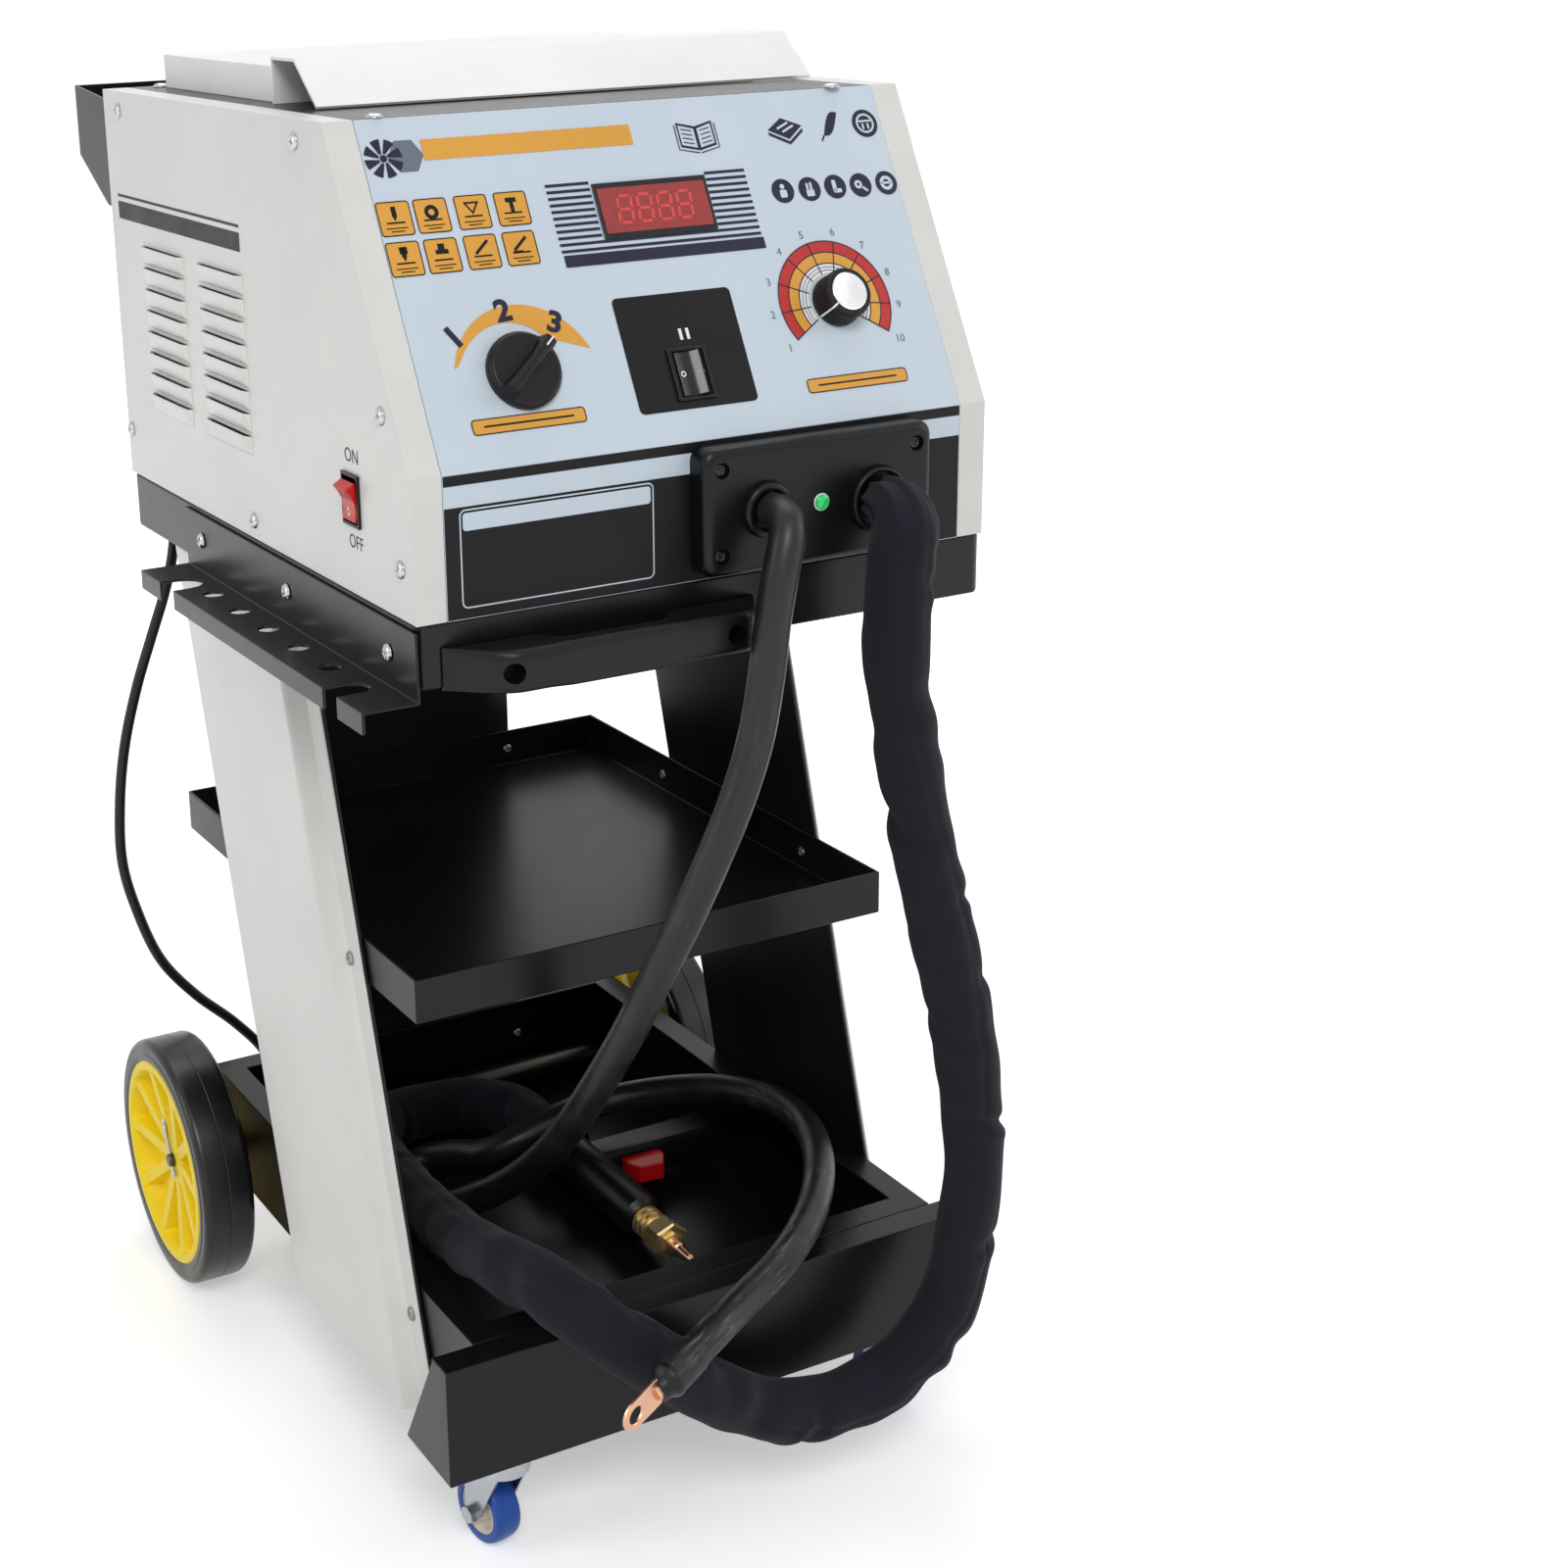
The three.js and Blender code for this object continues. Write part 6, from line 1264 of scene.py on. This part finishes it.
def slopeGrid(centre, reach, angle, rise):
    # a height field over a polar grid on the slope
    x, y = reach * np.cos(angle), reach * np.sin(angle)
    return place(onFace("slope", np.stack([centre[0] + x, centre[1] + y], -1).reshape(-1, 2),
                        np.broadcast_to(rise, x.shape).reshape(-1)))


def gripParts():
    # a shallow skirt that rounds off at its rim, with a waisted bar across it, and a wall down to the panel
    g = gripKnob
    reach, angle = np.linspace(0, 1, g["rings"])[:, None] * g["radius"], roundAngles(g["sides"])[None]
    turned = angle - math.radians(g["point"])
    along, across = reach * np.cos(turned), reach * np.sin(turned)
    skirt = g["skirt"] * (1 - np.clip((reach - g["radius"] + g["round"]) / g["round"], 0, 1) ** 2 * 0.45)
    waist = g["bar"] / 2 * (g["waist"] + (1 - g["waist"]) * (along / g["radius"]) ** 2)
    ends = np.clip((g["radius"] - 0.6 - np.abs(along)) / g["end"], 0, 1)
    crest = g["height"] - 2.2 * (across / 6) ** 2 - 1.2 * np.clip(-along / g["radius"], 0, 1)
    rise = skirt + eased((waist - np.abs(across)) / g["wall"]) * np.sqrt(ends) * (crest - skirt)
    rows = (reach, rise), (reach[-1:], rise[-1:] - 1), (reach[-1:], g["foot"])
    return np.vstack([slopeGrid(gripCentre, r, angle, h) for r, h in rows]), gridFaces(g["rings"] + 2, g["sides"])


def flutedParts():
    # a skirt whose radius rises and falls round it, with a rounded top that dips to the cap
    f = flutedKnob
    share, rise, bite = (np.array(v, float)[:, None] for v in (*zip(*f["profile"]), f["fluteShares"]))
    angle = roundAngles(f["flutes"] * 8)[None]
    reach = f["radius"] * share - f["depth"] * bite * (1 - np.abs(np.cos(f["flutes"] * angle / 2)))
    return slopeGrid(dialCentre, reach, angle, rise), gridFaces(len(share), angle.shape[1])


def capParts():
    reach, rise = (np.array(v)[:, None] for v in zip(*knobCap))
    return slopeGrid(dialCentre, reach, roundAngles(96)[None], rise), gridFaces(len(knobCap), 96)


addPiece("gripKnob", gripParts(), blackPlastic, "current_knob", ["current_knob"], sharp=45, facing=outOf("slope"))
addPiece("flutedKnob", flutedParts(), blackPlastic, "time_knob", ["time_knob"], sharp=40)
addPiece("timeCap", capParts(), silverCap, "time_knob", sharp=25, facing=outOf("slope"))


# White pointers: a line on each knob's top, and one carried down the fluted skirt as (radius, rise)

pointer = {"grip": (14, 21.5, 1.1), "time": (12.7, 15.2, 1.3), "lift": 0.15,
           "side": ((15.2, 18.15), (16.9, 16.6), (17.15, 5.0), (17.15, 1.2))}


def pointerMark(name, centre, degrees, start, end, width, rise, body):
    away = np.array([math.cos(math.radians(degrees)), math.sin(math.radians(degrees))])
    points, cells = stroke([centre + away * start, centre + away * end], width)
    addPiece(name, (place(onFace("slope", points, rise + pointer["lift"])), cells), whiteInk, body,
             facing=outOf("slope"))


def sidePointer():
    a = math.radians(dial["first"])
    away = np.array([math.cos(a), math.sin(a)])
    across = np.array([-math.sin(a), math.cos(a)]) * pointer["time"][2] / 2
    points = [onFace("slope", dialCentre + away * reach + side * across, rise)[0] for reach, rise in pointer["side"]
              for side in (-1, 1)]
    out = away @ np.array(planes["slope"][1:], float)
    addPiece("timeSidePointer", (place(points), gridFaces(len(pointer["side"]), 2, wrap=False)), whiteInk, "time_knob",
             facing=out + outOf("slope"))


pointerMark("gripPointer", gripCentre, gripKnob["point"], *pointer["grip"], gripKnob["height"], "current_knob")
pointerMark("timePointer", dialCentre, dial["first"], *pointer["time"], flutedKnob["profile"][-1][1], "time_knob")
sidePointer()

print("knobs turned")


# Terminal box: a pillow-edged moulded cover with sunk corner screws, a lamp and two cable rings

terminal = {"left": -18.0, "right": 151.0, "low": 663.5, "high": 744.0, "depth": 17.7, "corner": 9, "edge": 5.5,
            "back": 0.3, "screws": ((-5.5, 730.5), (138.5, 730.5), (-5.5, 676.5), (138.5, 676.5)),
            "screwHole": (5.2, 3.2), "screwBack": 3.1, "lamp": (66.5, 702.0), "lampHole": (5.6, 1.6),
            "pin": (48.5, 681.0), "pinHole": (3.2, 1.8)}
lamp = {"radius": 4.5, "foot": -1.6, "wall": 1.6, "dome": 1.7,
        "rim": ((5.6, -1.5), (5.6, 0.5), (5.1, 0.9), (4.6, 0.5), (4.6, -1.5))}
cableRings = (("ringGround", "ground_gland", 26.0, 703.0, 11.7, 17.5),
              ("ringGun", "gun_gland", 108.0, 699.0, 17.0, 21.0))


def coverParts():
    # the outline shrinks along a quarter circle as it rises to the face
    t = terminal
    rows = [(0.0, t["back"])]
    rows += [(t["edge"] * (1 - math.cos(a)), t["depth"] - t["edge"] + t["edge"] * math.sin(a))
             for a in np.radians(np.linspace(0, 90, 9))]
    outlines = [onFace("front", roundBox(t["left"] + inset, t["right"] - inset, t["low"] + inset, t["high"] - inset,
                                         t["corner"], 8), rise) for inset, rise in rows]
    return place(np.vstack(outlines)), gridFaces(len(rows), len(outlines[0]), capped=True)


def makeTerminal():
    t = terminal
    cover = addPiece("terminalCover", coverParts(), boxPlastic, replaced=["terminal_box"])
    face = panFront - t["depth"]
    for spots, size in ((t["screws"], t["screwHole"]), ((t["lamp"],), t["lampHole"]), ((t["pin"],), t["pinHole"])):
        for x, z in spots:
            sink(cover, (x, face, z), *size, sharp=32)
    screwSet("terminalScrews", [((x, face + t["screwBack"], z), front) for x, z in t["screws"]], glossPlastic, 4.2, 1.6)
    for name, node, x, z, inner, outer in cableRings:
        middle, half = (inner + outer) / 2, (outer - inner) / 2
        section = [(outer + 0.8, -0.6), (outer + 0.1, 2.6)]
        section += [(middle + half * math.cos(a), 3.2 + 3.0 * math.sin(a)) for a in np.radians(np.linspace(0, 180, 15))]
        section += [(inner, 0.0), (inner, -3.0)]
        addPiece(name, turnedParts(section, (x, face, z), front, 96), boxPlastic, replaced=[node], sharp=40)
    lens = [(lamp["radius"], lamp["foot"])]
    lens += [(lamp["radius"] * math.cos(a), lamp["wall"] + lamp["dome"] * math.sin(a))
             for a in np.radians(np.linspace(0, 90, 10))]
    centre = t["lamp"][0], face, t["lamp"][1]
    addPiece("lampLens", turnedParts(lens, centre, front, 48), greenLens, replaced=["indicator_lens"], sharp=40,
             facing=front)
    addPiece("lampRim", turnedParts(lamp["rim"], centre, front, 48), whiteInk, sharp=40, facing=front)


makeTerminal()
print("terminal box moulded")


# The gun's ribbed brass collar, hex nut and split copper tip, turned about the barrel's line. Profiles are
# (radius, place past the collar).

gunTip = {"x": 45.0, "z": 107.7, "start": 39.0, "first": 3, "ribs": 4, "ribPitch": 6.6, "ribRadius": 12.2, "neck": 9.6,
          "nutTurn": 0.35,
          "nut": ((0, 2.8), (13.8, 2.8), (15.2, 4.4), (15.2, 19), (13.8, 20.6), (9.0, 20.6), (8.0, 24.5), (0, 24.5)),
          "rod": ((0, 24.3), (5.6, 24.3), (5.6, 32.3), (4.4, 33.8), (4.0, 48.3), (2.4, 50.8), (2.4, 44.3), (0, 44.3))}


def makeGunTip():
    g = gunTip
    collar = [(7.0, -g["start"]), (11.0, -g["start"])]
    for k in range(g["ribs"]):
        at = g["first"] - g["start"] + g["ribPitch"] * k
        collar += [(g["ribRadius"], at), (g["ribRadius"], at + 3.4), (g["neck"], at + 3.9), (g["neck"], at + 6.2)]
    end = g["first"] - g["start"] + g["ribPitch"] * g["ribs"]
    collar += [(10.6, end), (10.6, end + 3), (0, end + 3)]
    start, past = (g["x"], 0.0, g["z"]), (g["x"], -end, g["z"])
    addPiece("gunCollar", turnedParts(collar, start, front, 64), brassMetal, replaced=["gun_chuck"], sharp=25)
    addPiece("gunNut", turnedParts(g["nut"], past, front, 6, g["nutTurn"]), brassMetal, sharp=25)
    addPiece("gunTipRod", turnedParts(g["rod"], past, front, 40), copperMetal, sharp=30)
    print("gun tip ends at", round(-end - g["rod"][5][1], 1))


makeGunTip()
print("gun tip made")


# Camera: the photograph's own place, turn and lens

photoCamera = {"place": (-0.774795, -1.548740, 1.057668), "yaw": 27.1345, "pitch": -17.4049, "roll": -1.6661,
               "focalPixels": 2521.798, "centre": (549.976, 699.979), "imageSize": 1600, "sensor": 36.0}


def makeCamera():
    c = photoCamera
    yaw, pitch, roll = (math.radians(c[k]) for k in ("yaw", "pitch", "roll"))
    forward = Vector((math.sin(yaw) * math.cos(pitch), math.cos(yaw) * math.cos(pitch), math.sin(pitch)))
    right = forward.cross(Vector((0, 0, 1))).normalized()
    up = right.cross(forward)
    turnedRight = right * math.cos(roll) + up * math.sin(roll)
    turnedUp = up * math.cos(roll) - right * math.sin(roll)
    data = bpy.data.cameras.new("photoCamera")
    data.sensor_width = c["sensor"]
    data.lens = c["focalPixels"] / c["imageSize"] * c["sensor"]
    data.shift_x = (c["imageSize"] / 2 - c["centre"][0]) / c["imageSize"]
    data.shift_y = (c["centre"][1] - c["imageSize"] / 2) / c["imageSize"]
    camera = linked("photoCamera", data)
    turn = Matrix((turnedRight, turnedUp, -forward)).transposed().to_4x4()
    camera.matrix_world = Matrix.Translation(c["place"]) @ turn
    bpy.context.scene.camera = camera


makeCamera()
print("camera set")


# Studio: a white floor that keeps shadows and fades into a white world, and soft lamps as (name, place, target,
# size, power)

studio = {"floorSize": 16.0, "floorColour": "#f4f4f4", "worldStrength": 0.33, "fadeFrom": 0.75, "fadeTo": 2.2,
          "nearGlow": 0.42,
          "lamps": (("keyLamp", (-1.15, -2.8, 3.0), (0, 0, 0.6), (1.6, 1.2), 54),
                    ("topLamp", (0.5, 0.9, 3.0), (0, 0.1, 0.5), (2.0, 1.6), 25),
                    ("sideLamp", (-2.8, 0.4, 1.5), (0, 0.1, 0.6), (1.0, 1.6), 15),
                    ("fillLamp", (2.6, -1.6, 1.7), (0, 0, 0.5), (1.4, 1.8), 15))}


def makeLamp(name, where, target, size, power):
    data = bpy.data.lights.new(name, "AREA")
    data.shape, data.energy = "RECTANGLE", power
    data.size, data.size_y = size
    lamp = linked(name, data)
    lamp.location = where
    lamp.rotation_euler = (Vector(target) - Vector(where)).to_track_quat("-Z", "Y").to_euler()


def seenRays(tree):
    # one for camera, mirror and see-through rays
    camera, through, mirror = (addNode(tree, "LightPath", "Is " + kind + " Ray")
                               for kind in ("Camera", "Transmission", "Glossy"))
    largest = [("operation", "MAXIMUM")]
    return addNode(tree, "Math", 0, largest, i0=addNode(tree, "Math", 0, largest, i0=camera, i1=through), i1=mirror)


def makeStudio():
    # the floor lifts itself to white for the eye as it leaves the object; near it the shadow stays
    c = studio
    material, tree, shader = newMaterial("mattPaper", "lid_white", Base_Color=linear(c["floorColour"]),
                                         Roughness=1.0, Specular_IOR_Level=0.0, Emission_Color=(1.0, 1.0, 1.0, 1.0))
    away = addNode(tree, "VectorMath", "Value", [("operation", "LENGTH")], i0=addNode(tree, "TexCoord", "Object"))
    fade = addNode(tree, "MapRange", 0, [("interpolation_type", "SMOOTHSTEP")], Value=away, From_Min=c["fadeFrom"],
                   From_Max=c["fadeTo"], To_Min=c["nearGlow"], To_Max=1.0)
    feed(tree, shader, Emission_Strength=addNode(tree, "Math", 0, multiply, i0=fade, i1=seenRays(tree)))
    half = c["floorSize"] / 2
    mesh = bpy.data.meshes.new("floor")
    mesh.from_pydata([(-half, -half, 0), (half, -half, 0), (half, half, 0), (-half, half, 0)], [], [(0, 1, 2, 3)])
    mesh.materials.append(material)
    linked("floor", mesh)
    world = bpy.data.worlds.new("studio")
    bpy.context.scene.world = world
    world.use_nodes = True
    tree = world.node_tree
    tree.nodes.clear()
    strength = addNode(tree, "MapRange", Value=seenRays(tree), To_Min=c["worldStrength"], To_Max=1.0)
    addNode(tree, "OutputWorld", Surface=addNode(tree, "Background", Color=(1.0, 1.0, 1.0, 1.0), Strength=strength))
    for values in c["lamps"]:
        makeLamp(*values)


makeStudio()
bpy.context.scene.view_settings.view_transform = "Standard"
print("studio lit")
